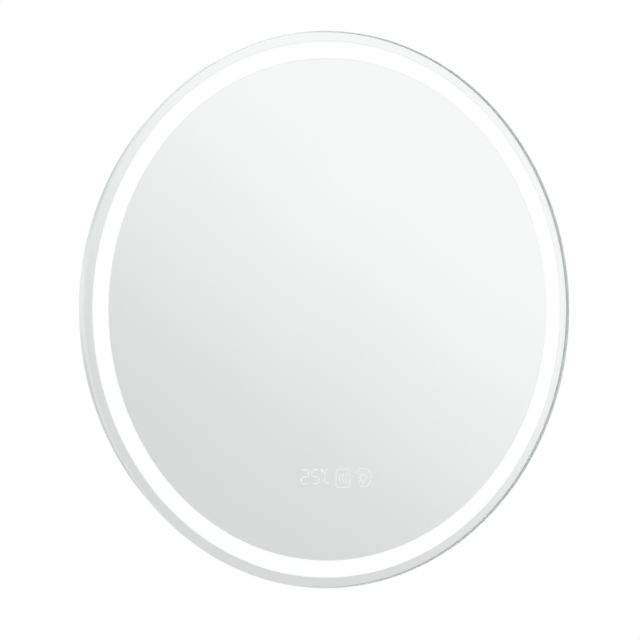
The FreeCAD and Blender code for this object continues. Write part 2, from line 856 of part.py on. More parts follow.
def knuckles(own, other_radius):
    """Hinge barrels about the pin: the tray's outer pair or the cover's inner one at each place."""
    half = knuckle_length / 2
    far = half + knuckle_gap
    spans = [(-half, half)] if own == "cover" else [(-far - half, -far), (far, far + half)]
    depths = (tray_back_y, cover_back_y) if own == "cover" else (tray_back_y - knuckle_radius, tray_back_y)
    barrels = []
    for centre in hinge_places:
        for start, end in spans:
            axis = place(centre + start, tray_back_y, hinge_z)
            barrel = Part.makeCylinder(knuckle_radius, end - start, axis, Vector(1, 0, 0))
            arm = box(centre + start, centre + end, *depths, hinge_z, tray_bottom + tray_wall / 2)
            bore = Part.makeCylinder(other_radius, end - start, axis, Vector(1, 0, 0))
            barrels.append(barrel.fuse(arm).cut(bore))
    return barrels


def gusset(x, z, outward):
    """Web between the tray's flange and its wall, whose outer face is at x, z."""
    out = Vector(outward[0], 0, outward[1])
    along = Vector(outward[1], 0, -outward[0]) * gusset_thickness
    foot = place(x, panel_back_y + tray_wall / 2, z) - along / 2
    rise = Vector(0, gusset_rise + tray_wall / 2, 0)
    inside = foot - out * (tray_wall / 2)
    base_end = foot + out * gusset_reach
    corners = [inside, base_end, base_end + Vector(0, tray_wall / 2, 0), foot + rise, inside + rise]
    return Part.Face(Part.makePolygon(corners + corners[:1])).extrude(along)


def tray_gussets():
    webs = [gusset(x, tray_top, (0, 1)) for x in gusset_top_places]
    webs += [gusset(x, tray_bottom, (0, -1)) for x in gusset_low_places]
    return webs + [gusset(tray_right, -tray_drop, (1, 0))]


def driver_rails():
    """Low walls on the tray's floor that the driver rests against."""
    top = driver_bottom - driver_rail_gap
    size = (driver_rail_length, tray_wall, 0)
    depths = (tray_floor_y, tray_floor_y + driver_rail_height)
    return [plate(*size, *depths, x, top - tray_wall / 2) for x in driver_rail_places]


def electrics_tray():
    centre = (0, -tray_drop)
    inner_size = (tray_width - 2 * tray_wall, tray_height - 2 * tray_wall, tray_corner - tray_wall)
    flange_growth = 2 * tray_flange
    flange_size = (tray_width + flange_growth, tray_height + flange_growth, tray_corner + tray_flange / 2)
    shell = plate(tray_width, tray_height, tray_corner, tray_front_y, tray_back_y, *centre)
    flange_depths = (panel_back_y, panel_back_y + tray_wall)
    flange = plate(*flange_size, *flange_depths, *centre)
    tray = shell.fuse(flange).cut(plate(*inner_size, tray_floor_y, tray_back_y, *centre))
    boss = disc(cover_screw_boss, tray_floor_y, tray_back_y - cover_lip_depth, cover_screw_x, screw_boss_z)
    post_ends = (tray_floor_y, tray_back_y - tray_wall)
    posts = [disc(entry_post_radius, *post_ends, x, z) for x, z in entry_post_places]
    tray = tray.fuse([boss] + posts + knuckles("tray", hinge_pin_radius) + tray_gussets() + driver_rails())
    boss_hole = screw_radius + cover_screw_clearance
    tray = bored(tray, [(cover_screw_x, screw_boss_z)], boss_hole, tray_floor_y + boss_floor, tray_back_y)
    tray = bored(tray, entry_post_places, screw_radius, tray_floor_y + boss_floor, tray_back_y)
    tray = bored(tray, tray_screw_places, screw_radius + screw_clearance, *flange_depths)
    tray = bored(tray, driver_ear_places, screw_radius, tray_front_y, tray_floor_y)
    for x, z in tray_exits:
        tray = tray.cut(lead_hole(x, z, (0, 1), tray_wall + cut_margin, lead_grommet_radius))
    return tray.removeSplitter()


def tray_screws():
    length = tray_wall + panel_thickness + 2 * screw_point
    head_y = panel_back_y + tray_wall
    return Part.makeCompound([pan_screw(x, z, head_y, length) for x, z in tray_screw_places])


def entry_plate():
    """Closes the tray's end behind the wiring compartment and carries the cable's grommet."""
    left = -tray_right + tray_wall + entry_gap
    size = (entry_edge - left, tray_height - 2 * (tray_wall + entry_gap), entry_corner)
    front = tray_back_y - tray_wall
    entry = plate(*size, front, tray_back_y, (left + entry_edge) / 2, -tray_drop)
    entry = bored(entry, [(cable_x, -tray_drop)], cable_radius + grommet_neck, front, tray_back_y)
    return bored(entry, entry_post_places, screw_radius + screw_clearance, front, tray_back_y)


def entry_screws():
    screws = [pan_screw(x, z, tray_back_y, entry_screw_length) for x, z in entry_post_places]
    return Part.makeCompound(screws)


def cable_grommet():
    outer = cable_radius + grommet_neck + grommet_flange
    front = tray_back_y - tray_wall - grommet_lip
    back = tray_back_y + grommet_lip
    flanges = disc(outer, front, tray_back_y - tray_wall, cable_x, -tray_drop)
    flanges = flanges.fuse(disc(outer, tray_back_y, back, cable_x, -tray_drop))
    neck_radius = cable_radius + grommet_neck - grommet_clearance
    neck = disc(neck_radius, tray_back_y - tray_wall, tray_back_y, cable_x, -tray_drop)
    return flanges.fuse(neck).cut(disc(cable_radius, front, back, cable_x, -tray_drop))


def lead_grommets():
    grommets = []
    for x, z in tray_exits:
        outer = lead_hole(x, z, (0, 1), tray_wall, lead_grommet_radius - grommet_clearance)
        collar_z = tray_bottom - lead_collar_depth / 2
        collar = lead_hole(x, collar_z, (0, 1), lead_collar_depth, lead_grommet_radius + lead_collar_width)
        bore = lead_hole(x, z, (0, 1), tray_wall + 4 * lead_collar_depth, lead_radius + lead_clearance)
        grommets.append(outer.fuse(collar).cut(bore))
    return Part.makeCompound(grommets)


def wiring_cover():
    left = entry_edge - cover_seat
    middle = ((left + tray_right) / 2, -tray_drop)
    cover = plate(tray_right - left, tray_height, tray_corner, tray_back_y, cover_back_y, *middle)
    notch_size = (cover_notch_width, 2 * cover_notch_depth, cover_notch_depth / 2)
    cover = cover.cut(plate(*notch_size, tray_back_y, cover_back_y, cover_notch_x, tray_top))
    cover = cover.makeFillet(cover_edge_radius, rear_edges(cover, cover_back_y))
    lip_left = entry_edge + cover_lip_gap
    lip_right = tray_right - tray_wall - cover_lip_gap
    lip_low = tray_bottom + tray_wall + cover_lip_rise
    lip_high = tray_top - tray_wall - cover_lip_gap
    centre = ((lip_left + lip_right) / 2, (lip_low + lip_high) / 2)

    def lip(inset):
        size = (lip_right - lip_left - 2 * inset, lip_high - lip_low - 2 * inset, cover_lip_corner - inset)
        return plate(*size, tray_back_y - cover_lip_depth, tray_back_y, *centre)

    cover = cover.fuse(lip(0).cut(lip(cover_lip)))
    rib_ends = (tray_back_y - cover_rib_height, tray_back_y)
    half = cover_lip / 2
    cover = cover.fuse([box(x - half, x + half, *rib_ends, lip_low, lip_high) for x in cover_rib_places])
    cover = cover.fuse(knuckles("cover", hinge_pin_radius + hinge_pin_clearance))
    hole = disc(screw_radius + cover_screw_seat, tray_back_y, cover_back_y, cover_screw_x, screw_boss_z)
    return cover.cut(hole).removeSplitter()


def cover_screw():
    length = cover_thickness + cover_lip_depth + cover_screw_point
    top = cover_back_y + cover_screw_head_height
    shank = disc(screw_radius, cover_back_y - length, cover_back_y, cover_screw_x, screw_boss_z)
    head = disc(cover_screw_head_radius, cover_back_y, top, cover_screw_x, screw_boss_z)
    reach = cover_screw_head_radius + cut_margin
    half = cover_slot_width / 2
    across = (cover_screw_x - reach, cover_screw_x + reach)
    slot = box(*across, top - cover_slot_depth, top, screw_boss_z - half, screw_boss_z + half)
    return shank.fuse(head).cut(slot)


def hinge_pin():
    half = knuckle_length + knuckle_gap
    pins = []
    for centre in hinge_places:
        axis = place(centre - half, tray_back_y, hinge_z)
        pins.append(Part.makeCylinder(hinge_pin_radius, 2 * half, axis, Vector(1, 0, 0)))
    return Part.makeCompound(pins)


def driver_bushes():
    """Collars on the driver's ends, one round each lead."""
    exits = [(driver_right, lead_y, -tray_drop - start[0][1], 1)
             for start in (control_start, led_start, demister_start)]
    exits += [(driver_left, wire_y, level, -1) for level in mains_entry_levels]
    bushes = []
    for x, y, z, side in exits:
        along = Vector(side, 0, 0)
        collar = Part.makeCylinder(driver_bush_radius, driver_bush_length, place(x, y, z), along)
        way = Part.makeCylinder(lead_radius + lead_clearance, driver_bush_length, place(x, y, z), along)
        bushes.append(collar.cut(way))
    return bushes


def driver_case():
    centre_x = driver_left + driver_length / 2
    size = (driver_length, driver_height, driver_corner)
    case = plate(*size, tray_floor_y, driver_back_y, centre_x, -tray_drop)
    case = case.makeFillet(driver_fillet, rear_edges(case, driver_back_y))
    groove_front = driver_back_y - driver_groove_depth
    for index in range(driver_groove_count):
        x = centre_x + (index - (driver_groove_count - 1) / 2) * driver_groove_pitch
        size = (driver_groove_width, driver_groove_length, driver_groove_width / 2)
        case = case.cut(plate(*size, groove_front, driver_back_y, x, -tray_drop))
    ear_size = (ear_length + driver_fillet, ear_height, ear_corner)
    for x, z in driver_ear_places:
        case = case.fuse(plate(*ear_size, tray_floor_y, ear_back_y, x, z))
    case = case.fuse(driver_bushes())
    return bored(case, driver_ear_places, screw_radius + screw_clearance, tray_floor_y, ear_back_y)


def driver_screws():
    length = ear_thickness + tray_wall
    return Part.makeCompound([pan_screw(x, z, ear_back_y, length) for x, z in driver_ear_places])


def terminal_block():
    height = pole_pitch * pole_count
    base = (tray_floor_y, terminal_back_y - pole_base_drop)
    block = plate(terminal_width, height, pole_corner / 2, *base, terminal_x, -tray_drop)
    tower_size = (terminal_width - pole_gap, pole_pitch - pole_gap, pole_corner)
    for level in pole_levels:
        block = block.fuse(plate(*tower_size, tray_floor_y, terminal_back_y, terminal_x, level))
    for level in pole_levels:
        start = place(terminal_left, wire_y, level)
        block = block.cut(Part.makeCylinder(pole_tunnel_radius, terminal_width, start, Vector(1, 0, 0)))
    return bored(block, well_places, pole_well_radius, wire_y, terminal_back_y)


def terminal_screws():
    screws = []
    top = terminal_back_y - pole_screw_sink
    radius = pole_well_radius - pole_screw_clearance
    half = pole_slot_width / 2
    reach = radius + cut_margin
    for x, z in well_places:
        slot = box(x - reach, x + reach, top - pole_slot_depth, top, z - half, z + half)
        screws.append(disc(radius, tray_floor_y + pole_screw_rise, top, x, z).cut(slot))
    return Part.makeCompound(screws)


def mains_leads():
    """Two cores from the terminal block to the driver."""
    leads = []
    reach = driver_left - terminal_right
    for end_z, level in zip(mains_entry_levels, pole_levels):
        route = [
            (driver_left, end_z),
            (driver_left - reach * mains_lead_first, end_z),
            (driver_left - reach * mains_lead_second, (end_z + level) / 2),
            (terminal_right + cut_margin, level),
            (terminal_right - mains_lead_grip, level),
        ]
        leads.append(lead(route, wire_y))
    return Part.makeCompound(leads)


def clip_spots():
    """Middle of the run that each clip holds, and the run's direction."""
    spots = []
    for name, index in clip_runs:
        (x0, z0), (x1, z1) = lead_routes[name][index:index + 2]
        spots.append(((x0 + x1) / 2, (z0 + z1) / 2, (x1 - x0, z1 - z0)))
    return spots


def lead_clips():
    clips = []
    for x, z, direction in clip_spots():
        post = disc(clip_radius, silver_back_y, lead_y + clip_cap, x, z)
        clips.append(post.cut(lead_hole(x, z, direction, 4 * clip_radius, lead_radius + lead_clearance)))
    return Part.makeCompound(clips)


makers = [
    wall_cleat, mirror_glass, mirror_silver, frosted_band, bonding_tape, frame_hoop, frame_splice,
    splice_rivets, diffuser_ring, reflector_ring, led_tape, led_chips, back_panel, panel_screws, mirror_cleat,
    cleat_rivets, foam_spacers, bumper_pads, demister_pad, demister_block, control_holder, control_board,
    control_screws, display_modules, touch_pads, board_connector, electrics_tray, tray_screws, entry_plate,
    entry_screws, cable_grommet, lead_grommets, wiring_cover, cover_screw, hinge_pin, driver_case,
    driver_screws, terminal_block, terminal_screws, mains_leads, lead_clips,
]
shapes = {maker.__name__: maker() for maker in makers}
shapes.update({name: lead(route) for name, route in lead_routes.items()})

os.makedirs("parts", exist_ok=True)
for name, shape in shapes.items():
    shape.exportStep(f"parts/{name}.step")
print(len(shapes), "sub-parts, all valid:", all(shape.isValid() for shape in shapes.values()))
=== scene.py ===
import bpy
import bmesh
import json
import math
from functools import partial
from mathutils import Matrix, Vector


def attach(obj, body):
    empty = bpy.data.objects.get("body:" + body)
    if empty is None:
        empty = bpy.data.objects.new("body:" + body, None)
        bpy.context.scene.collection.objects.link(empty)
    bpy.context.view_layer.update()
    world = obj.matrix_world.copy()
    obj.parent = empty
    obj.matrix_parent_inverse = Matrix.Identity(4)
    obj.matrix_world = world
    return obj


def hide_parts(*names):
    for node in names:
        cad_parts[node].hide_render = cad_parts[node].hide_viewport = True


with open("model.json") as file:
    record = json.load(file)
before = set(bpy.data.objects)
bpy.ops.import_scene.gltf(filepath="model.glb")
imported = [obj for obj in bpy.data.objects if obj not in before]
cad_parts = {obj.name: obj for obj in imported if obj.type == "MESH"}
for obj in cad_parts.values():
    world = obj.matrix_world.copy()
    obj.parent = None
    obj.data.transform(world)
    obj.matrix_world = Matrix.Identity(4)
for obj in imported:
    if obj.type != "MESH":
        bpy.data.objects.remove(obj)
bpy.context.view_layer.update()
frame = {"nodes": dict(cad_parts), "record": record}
nodes = frame["nodes"]
mirrorZ = -0.130  # the mirror's centre below the wall cleat's screws
fullTurn = 2 * math.pi
print("frame loaded,", len(nodes), "nodes")


# Nodes, for shaders and for Geometry Nodes alike


def addNode(tree, kind, inputs=None, **settings):
    node = tree.nodes.new(kind)
    for key, value in settings.items():
        setattr(node, key, value)
    for key, value in (inputs or {}).items():
        if isinstance(value, bpy.types.NodeSocket):
            tree.links.new(value, node.inputs[key])
        else:
            node.inputs[key].default_value = value
    return node


def addMath(tree, operation, first, second=0.0, third=0.0):
    inputs = {0: first, 1: second, 2: third}
    return addNode(tree, "ShaderNodeMath", inputs, operation=operation).outputs[0]


def joinAxes(tree, x=0.0, y=0.0, z=0.0):
    return addNode(tree, "ShaderNodeCombineXYZ", {0: x, 1: y, 2: z}).outputs[0]


noiseSpan = (0.3, 0.7)  # where a noise's values mostly lie


def ranged(tree, value, low=0.0, high=1.0, span=noiseSpan, kind="LINEAR"):
    inputs = {"Value": value, "From Min": span[0], "From Max": span[1], "To Min": low, "To Max": high}
    return addNode(tree, "ShaderNodeMapRange", inputs, interpolation_type=kind).outputs["Result"]


def noiseOf(tree, point, scale, detail=4.0):
    inputs = {"Vector": point, "Scale": scale, "Detail": detail}
    return addNode(tree, "ShaderNodeTexNoise", inputs).outputs["Fac"]


# Materials: all read Object coordinates, in metres


def startMaterial(name, colour, metallic=0.0):
    material = bpy.data.materials.new(name)
    material.use_nodes = True
    tree = material.node_tree
    shader = tree.nodes["Principled BSDF"]
    shader.inputs["Base Color"].default_value = (*colour, 1)
    shader.inputs["Metallic"].default_value = metallic
    return material, tree, shader


def pointIn(tree, stretch=(1, 1, 1), shift=(0, 0, 0)):
    place = addNode(tree, "ShaderNodeTexCoord").outputs["Object"]
    inputs = {"Vector": place, "Location": shift, "Scale": stretch}
    return addNode(tree, "ShaderNodeMapping", inputs).outputs[0]


def ringPoint(tree, stretch=(1, 1, 1)):
    # angle, depth and radius about the mirror's axis, for marks that run round it
    split = addNode(tree, "ShaderNodeSeparateXYZ", {0: pointIn(tree, shift=(0, 0, -mirrorZ))}).outputs
    angle = addMath(tree, "ARCTAN2", split[2], split[0])
    flat = joinAxes(tree, x=split[0], z=split[2])
    radius = addNode(tree, "ShaderNodeVectorMath", {0: flat}, operation="LENGTH").outputs["Value"]
    inputs = {"Vector": joinAxes(tree, angle, split[1], radius), "Scale": stretch}
    return addNode(tree, "ShaderNodeMapping", inputs).outputs[0]


def blendColours(tree, value, first, second):
    inputs = {0: value, 6: (*first, 1), 7: (*second, 1)}
    return addNode(tree, "ShaderNodeMix", inputs, data_type="RGBA").outputs[2]


def shaded(colour, share):
    return [part * share for part in colour]


def tint(tree, shader, value, first, second, socket="Base Color"):
    tree.links.new(blendColours(tree, value, first, second), shader.inputs[socket])


def roughen(tree, shader, value, roughness, span=noiseSpan):
    tree.links.new(ranged(tree, value, *roughness, span), shader.inputs["Roughness"])


def addBump(tree, shader, height, depth, edge=0.0):
    inputs = {"Height": height, "Distance": depth, "Strength": 1.0}
    if edge:
        inputs["Normal"] = addNode(tree, "ShaderNodeBevel", {"Radius": edge}, samples=4).outputs[0]
    tree.links.new(addNode(tree, "ShaderNodeBump", inputs).outputs[0], shader.inputs["Normal"])


def moulded(name, colour, look):
    # fine spark-eroded grain, slight tone drift, softened edges
    material, tree, shader = startMaterial(name, colour)
    point = pointIn(tree)
    drift = noiseOf(tree, point, look["driftScale"], 3)
    tint(tree, shader, ranged(tree, drift), shaded(colour, look["drift"]), colour)
    grain = noiseOf(tree, point, look["grainScale"], 2)
    roughen(tree, shader, grain, look["roughness"])
    addBump(tree, shader, grain, look["grainDepth"], look["edge"])
    return material


def rubber(name, colour, look):
    # fine grain under a patchy pale bloom
    material, tree, shader = startMaterial(name, colour)
    point = pointIn(tree)
    bloom = noiseOf(tree, point, look["bloomScale"], 5)
    paler = [part + (1 - part) * look["bloom"] for part in colour]
    tint(tree, shader, ranged(tree, bloom), colour, paler)
    roughen(tree, shader, bloom, look["roughness"])
    addBump(tree, shader, noiseOf(tree, point, look["grainScale"], 2), look["grainDepth"])
    return material


def cellFoam(name, colour, look):
    # closed-cell foam: domed cells with sunken walls, the sunken walls painted darker as painted shade in
    # the hollows between cells
    material, tree, shader = startMaterial(name, colour)
    inputs = {"Vector": pointIn(tree), "Scale": look["cellScale"]}
    cells = addNode(tree, "ShaderNodeTexVoronoi", inputs, feature="DISTANCE_TO_EDGE")
    dome = ranged(tree, cells.outputs["Distance"], span=(0.0, look["wall"]))
    # painted shade: the sunken walls between the cells are darkened
    tint(tree, shader, dome, shaded(colour, look["paintedWallShade"]), colour)
    roughen(tree, shader, dome, look["roughness"], (0, 1))
    addBump(tree, shader, dome, look["cellDepth"])
    return material


def zincPlate():
    # crystal patches of zinc over the rolling lines of the sheet
    look = {"bright": (0.71, 0.73, 0.75), "dull": 0.82, "roughness": (0.26, 0.50), "span": (0.05, 0.55),
            "crystalScale": 260, "cloudScale": 60, "lines": (4, 900, 900), "lineDepth": 0.000006,
            "edge": 0.0002}
    material, tree, shader = startMaterial("zincPlate", look["bright"], 1.0)
    point = pointIn(tree)
    crystal = addNode(tree, "ShaderNodeTexVoronoi", {"Vector": point, "Scale": look["crystalScale"]})
    tone = addNode(tree, "ShaderNodeSeparateColor", {0: crystal.outputs["Color"]}).outputs[0]
    tint(tree, shader, tone, shaded(look["bright"], look["dull"]), look["bright"])
    mixed = addMath(tree, "MULTIPLY", tone, noiseOf(tree, point, look["cloudScale"], 5))
    roughen(tree, shader, mixed, look["roughness"], look["span"])
    lines = noiseOf(tree, pointIn(tree, look["lines"]), 1.0, 3)
    addBump(tree, shader, lines, look["lineDepth"], look["edge"])
    return material


def powderCoat():
    # baked powder: orange peel over a finer sand
    look = {"pale": (0.62, 0.635, 0.64), "dull": 0.96, "driftScale": 9, "roughness": (0.40, 0.54),
            "peelScale": 420, "sandScale": 2100, "sandShare": 0.35, "peelDepth": 0.00012, "edge": 0.0004}
    material, tree, shader = startMaterial("palePowderCoat", look["pale"])
    point = pointIn(tree)
    drift = noiseOf(tree, point, look["driftScale"])
    tint(tree, shader, ranged(tree, drift), shaded(look["pale"], look["dull"]), look["pale"])
    peel = noiseOf(tree, point, look["peelScale"], 2)
    roughen(tree, shader, peel, look["roughness"])
    sand = noiseOf(tree, point, look["sandScale"], 2)
    both = addMath(tree, "MULTIPLY_ADD", sand, look["sandShare"], peel)
    addBump(tree, shader, both, look["peelDepth"], look["edge"])
    return material


def satinAnodised():
    # satin aluminium with fine lines running round the hoop
    look = {"bright": (0.73, 0.75, 0.752), "dull": 0.95, "roughness": (0.35, 0.44), "span": (0.35, 0.80),
            "lines": (3, 2500, 2500), "lineShare": 0.15, "lineDepth": 0.000001, "cloudScale": 22}
    material, tree, shader = startMaterial("satinAnodised", look["bright"], 1.0)
    alongRing = ringPoint(tree, look["lines"])
    lines = noiseOf(tree, alongRing, 1.0, 3)
    tint(tree, shader, ranged(tree, lines), shaded(look["bright"], look["dull"]), look["bright"])
    cloud = noiseOf(tree, pointIn(tree), look["cloudScale"], 3)
    mixed = addMath(tree, "MULTIPLY_ADD", lines, look["lineShare"], cloud)
    roughen(tree, shader, mixed, look["roughness"], look["span"])
    addBump(tree, shader, noiseOf(tree, alongRing, 1.0, 1), look["lineDepth"])
    return material


def clearGlass():
    # float glass, with the very slight roller wave that tempering leaves
    look = {"tint": (0.994, 0.998, 0.997), "wave": (1, 1, 4), "waveScale": 14, "waveDepth": 0.000001}
    material, tree, shader = startMaterial("clearFloatGlass", look["tint"])
    shader.inputs["Roughness"].default_value = 0.0
    shader.inputs["Transmission Weight"].default_value = 1.0
    shader.inputs["IOR"].default_value = 1.5
    wave = noiseOf(tree, pointIn(tree, look["wave"]), look["waveScale"], 1)
    addBump(tree, shader, wave, look["waveDepth"])
    return material


def groundEdge():
    # ground and polished arris, shown opaque: its pale green-grey is painted reflection, the look of the
    # silvering seen through the green glass put in as surface colour over the glass's own green tint; and
    # fine lines of the wheel
    look = {"tint": (0.82, 0.865, 0.862), "pale": (0.87, 0.90, 0.898), "roughness": (0.10, 0.28),
            "coat": 0.3, "wheel": (30, 9000, 5000), "wheelDepth": 0.00002, "patchScale": 35}
    material, tree, shader = startMaterial("polishedGlassEdge", look["tint"])
    shader.inputs["IOR"].default_value = 1.5
    shader.inputs["Coat Weight"].default_value = look["coat"]
    patches = noiseOf(tree, pointIn(tree), look["patchScale"], 3)
    # painted reflection: the opaque edge's colour and its paler patches stand in for the silvering seen
    # through the glass
    tint(tree, shader, ranged(tree, patches), look["tint"], look["pale"])
    wheel = noiseOf(tree, ringPoint(tree, look["wheel"]), 1.0, 3)
    roughen(tree, shader, wheel, look["roughness"])
    addBump(tree, shader, wheel, look["wheelDepth"])
    return material


def silverLayer():
    # copper-free silver seen through the glass
    look = {"silver": (0.955, 0.962, 0.962), "paler": (0.972, 0.976, 0.976), "roughness": (0.004, 0.016),
            "hazeScale": 5}
    material, tree, shader = startMaterial("mirrorSilver", look["silver"], 1.0)
    haze = noiseOf(tree, pointIn(tree), look["hazeScale"], 3)
    tint(tree, shader, ranged(tree, haze), look["silver"], look["paler"])
    roughen(tree, shader, haze, look["roughness"])
    return material


def litFrost():
    # sand-blasted glass with the light ring behind it, a little dimmer towards the edges of the band
    look = {"body": (0.4, 0.41, 0.41), "warm": (0.985, 1.0, 0.99), "cool": (0.968, 1.0, 1.0), "glow": 0.76,
            "edgeGlow": 0.60, "middle": 0.2795, "halfWidth": 0.0095, "fade": 0.0018, "toneScale": 30,
            "gritScale": 2600, "gritDepth": 0.00003, "roughness": (0.45, 0.7)}
    material, tree, shader = startMaterial("litFrostedGlass", look["body"])
    radius = addNode(tree, "ShaderNodeSeparateXYZ", {0: ringPoint(tree)}).outputs[2]
    aside = addMath(tree, "ABSOLUTE", addMath(tree, "SUBTRACT", radius, look["middle"]))
    span = (look["halfWidth"] - look["fade"], look["halfWidth"])
    glow = ranged(tree, aside, look["glow"], look["edgeGlow"], span, "SMOOTHSTEP")
    tree.links.new(glow, shader.inputs["Emission Strength"])
    tone = noiseOf(tree, pointIn(tree), look["toneScale"], 2)
    tint(tree, shader, ranged(tree, tone), look["warm"], look["cool"], "Emission Color")
    grit = noiseOf(tree, pointIn(tree), look["gritScale"], 2)
    roughen(tree, shader, grit, look["roughness"])
    addBump(tree, shader, grit, look["gritDepth"])
    return material


def displayGlow():
    # light of the display's segments behind the cleared silvering
    look = {"body": (0.03, 0.03, 0.03), "roughness": 0.4, "blue": (0.93, 0.985, 1.0),
            "white": (0.98, 1.0, 1.0), "glow": 0.90, "toneScale": 220, "gritScale": 3000,
            "gritDepth": 0.00001}
    material, tree, shader = startMaterial("displayGlow", look["body"])
    shader.inputs["Roughness"].default_value = look["roughness"]
    shader.inputs["Emission Strength"].default_value = look["glow"]
    tone = noiseOf(tree, pointIn(tree), look["toneScale"], 2)
    tint(tree, shader, ranged(tree, tone), look["blue"], look["white"], "Emission Color")
    addBump(tree, shader, noiseOf(tree, pointIn(tree), look["gritScale"], 2), look["gritDepth"])
    return material


def ledLens():
    # yellow phosphor grains in clear silicone
    look = {"dense": (1.0, 0.74, 0.16), "thin": (1.0, 0.90, 0.45), "roughness": 0.3,
            "shine": (1.0, 0.93, 0.75), "glow": 0.6, "grainScale": 1800, "grainDepth": 0.00003}
    material, tree, shader = startMaterial("phosphorLens", look["dense"])
    shader.inputs["Roughness"].default_value = look["roughness"]
    shader.inputs["Emission Color"].default_value = (*look["shine"], 1)
    shader.inputs["Emission Strength"].default_value = look["glow"]
    grains = noiseOf(tree, pointIn(tree), look["grainScale"], 3)
    tint(tree, shader, ranged(tree, grains), look["dense"], look["thin"])
    addBump(tree, shader, grains, look["grainDepth"])
    return material


def circuitBoard():
    # solder mask over traces
    look = {"mask": (0.02, 0.16, 0.07), "trace": (0.05, 0.27, 0.12), "traceScale": 90, "traceWidth": 0.012,
            "traceDepth": 0.00003, "grainScale": 900, "roughness": (0.28, 0.45)}
    black, white = (0, 0, 0, 1), (1, 1, 1, 1)
    material, tree, shader = startMaterial("solderMask", look["mask"])
    traces = addNode(tree, "ShaderNodeTexBrick", {
        "Vector": pointIn(tree), "Scale": look["traceScale"], "Mortar Size": look["traceWidth"],
        "Color1": black, "Color2": black, "Mortar": white,
    }).outputs["Color"]
    tint(tree, shader, traces, look["mask"], look["trace"])
    roughen(tree, shader, noiseOf(tree, pointIn(tree), look["grainScale"]), look["roughness"])
    addBump(tree, shader, traces, look["traceDepth"])
    return material


def heatingFilm():
    # printed carbon lines between two clear films
    look = {"carbon": (0.05, 0.05, 0.055), "film": (0.42, 0.42, 0.42), "pitch": 260, "wander": 0.3,
            "edge": (0.2, 0.35), "lineDepth": 0.00002, "cloudScale": 120, "roughness": (0.3, 0.5)}
    material, tree, shader = startMaterial("heatingFilm", look["carbon"])
    inputs = {"Vector": pointIn(tree), "Scale": look["pitch"], "Distortion": look["wander"]}
    waves = addNode(tree, "ShaderNodeTexWave", inputs, bands_direction="Z").outputs["Fac"]
    lines = ranged(tree, waves, span=look["edge"])
    tint(tree, shader, lines, look["film"], look["carbon"])
    roughen(tree, shader, noiseOf(tree, pointIn(tree), look["cloudScale"]), look["roughness"])
    addBump(tree, shader, lines, look["lineDepth"])
    return material


grained = {"roughness": (0.42, 0.58), "grainScale": 1500, "grainDepth": 0.00004, "driftScale": 18,
           "drift": 0.94, "edge": 0.0003}
smooth = {**grained, "roughness": (0.24, 0.40), "grainScale": 2500, "grainDepth": 0.000012, "edge": 0.0002}
gum = {"roughness": (0.45, 0.65), "grainScale": 1300, "grainDepth": 0.00003, "bloomScale": 240,
       "bloom": 0.05}
jacket = {**gum, "roughness": (0.28, 0.48), "grainScale": 1800, "grainDepth": 0.00001}
# paintedWallShade: how much darker the sunken cell walls are painted, a painted shade
softFoam = {"cellScale": 900, "cellDepth": 0.0002, "wall": 0.25, "paintedWallShade": 0.78,
            "roughness": (0.95, 0.75)}
fineFoam = {**softFoam, "cellScale": 1600, "cellDepth": 0.0001}
finish = {
    "glass": clearGlass(),
    "edge": groundEdge(),
    "silver": silverLayer(),
    "backPaint": moulded("mirrorBackPaint", (0.44, 0.50, 0.50), {**grained, "grainScale": 700}),
    "frosted": litFrost(),
    "glow": displayGlow(),
    "opal": moulded("opalSheet", (0.93, 0.93, 0.92), smooth),
    "foam": cellFoam("whiteCellFoam", (0.86, 0.86, 0.84), softFoam),
    "frame": satinAnodised(),
    "steel": powderCoat(),
    "zinc": zincPlate(),
    "white_plastic": moulded("whiteMoulding", (0.86, 0.86, 0.85), grained),
    "case_plastic": moulded("driverMoulding", (0.74, 0.75, 0.76), {**grained, "grainScale": 1100}),
    "led_tape": moulded("whiteFlexCircuit", (0.92, 0.91, 0.87), smooth),
    "led": moulded("ledHousing", (0.94, 0.93, 0.88), smooth),
    "lens": ledLens(),
    "heater": heatingFilm(),
    "black_plastic": moulded("blackMoulding", (0.02, 0.02, 0.022), {**smooth, "drift": 0.7}),
    "board": circuitBoard(),
    "copper_foam": cellFoam("conductiveFoam", (0.42, 0.30, 0.20), fineFoam),
    "rubber": rubber("blackRubber", (0.022, 0.022, 0.022), gum),
    "pad_rubber": rubber("greyPadRubber", (0.42, 0.43, 0.43), {
        **gum, "roughness": (0.4, 0.6), "grainScale": 900}),
    "lead_jacket": rubber("whiteLeadJacket", (0.84, 0.84, 0.82), jacket),
    "mains_jacket": rubber("brownLeadJacket", (0.13, 0.055, 0.025), jacket),
    "terminal": moulded("ivoryNylon", (0.84, 0.82, 0.74), {**smooth, "roughness": (0.32, 0.48)}),
}
print("finishes made,", len(finish))


# Shapes
foldAngle = math.radians(32)  # edges that fold less than this are part of a round
headFoldAngle = math.radians(28)


def linkPiece(name, mesh, body, slot, *replaced):
    piece = bpy.data.objects.new(name, mesh)
    bpy.context.scene.collection.objects.link(piece)
    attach(piece, body)
    if replaced:
        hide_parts(*replaced)


def finishMesh(mesh, materials, pick=None):
    # smooth rounds whose shading leaves the flat faces beside them flat
    for material in materials:
        mesh.materials.append(material)
    mesh.shade_smooth()
    mesh.set_sharp_from_angle(angle=foldAngle)
    if pick:
        for face in mesh.polygons:
            face.material_index = pick(face)
    holder = bpy.data.objects.new(mesh.name + "Holder", mesh)
    bpy.context.scene.collection.objects.link(holder)
    weighting = holder.modifiers.new("weighting", "WEIGHTED_NORMAL")
    weighting.mode = "FACE_AREA_WITH_ANGLE"
    weighting.keep_sharp = True
    graph = bpy.context.evaluated_depsgraph_get()
    evaluated = holder.evaluated_get(graph)
    result = bpy.data.meshes.new_from_object(evaluated, preserve_all_data_layers=True, depsgraph=graph)
    name = mesh.name
    bpy.data.objects.remove(holder)
    bpy.data.meshes.remove(mesh)
    result.name = name
    return result


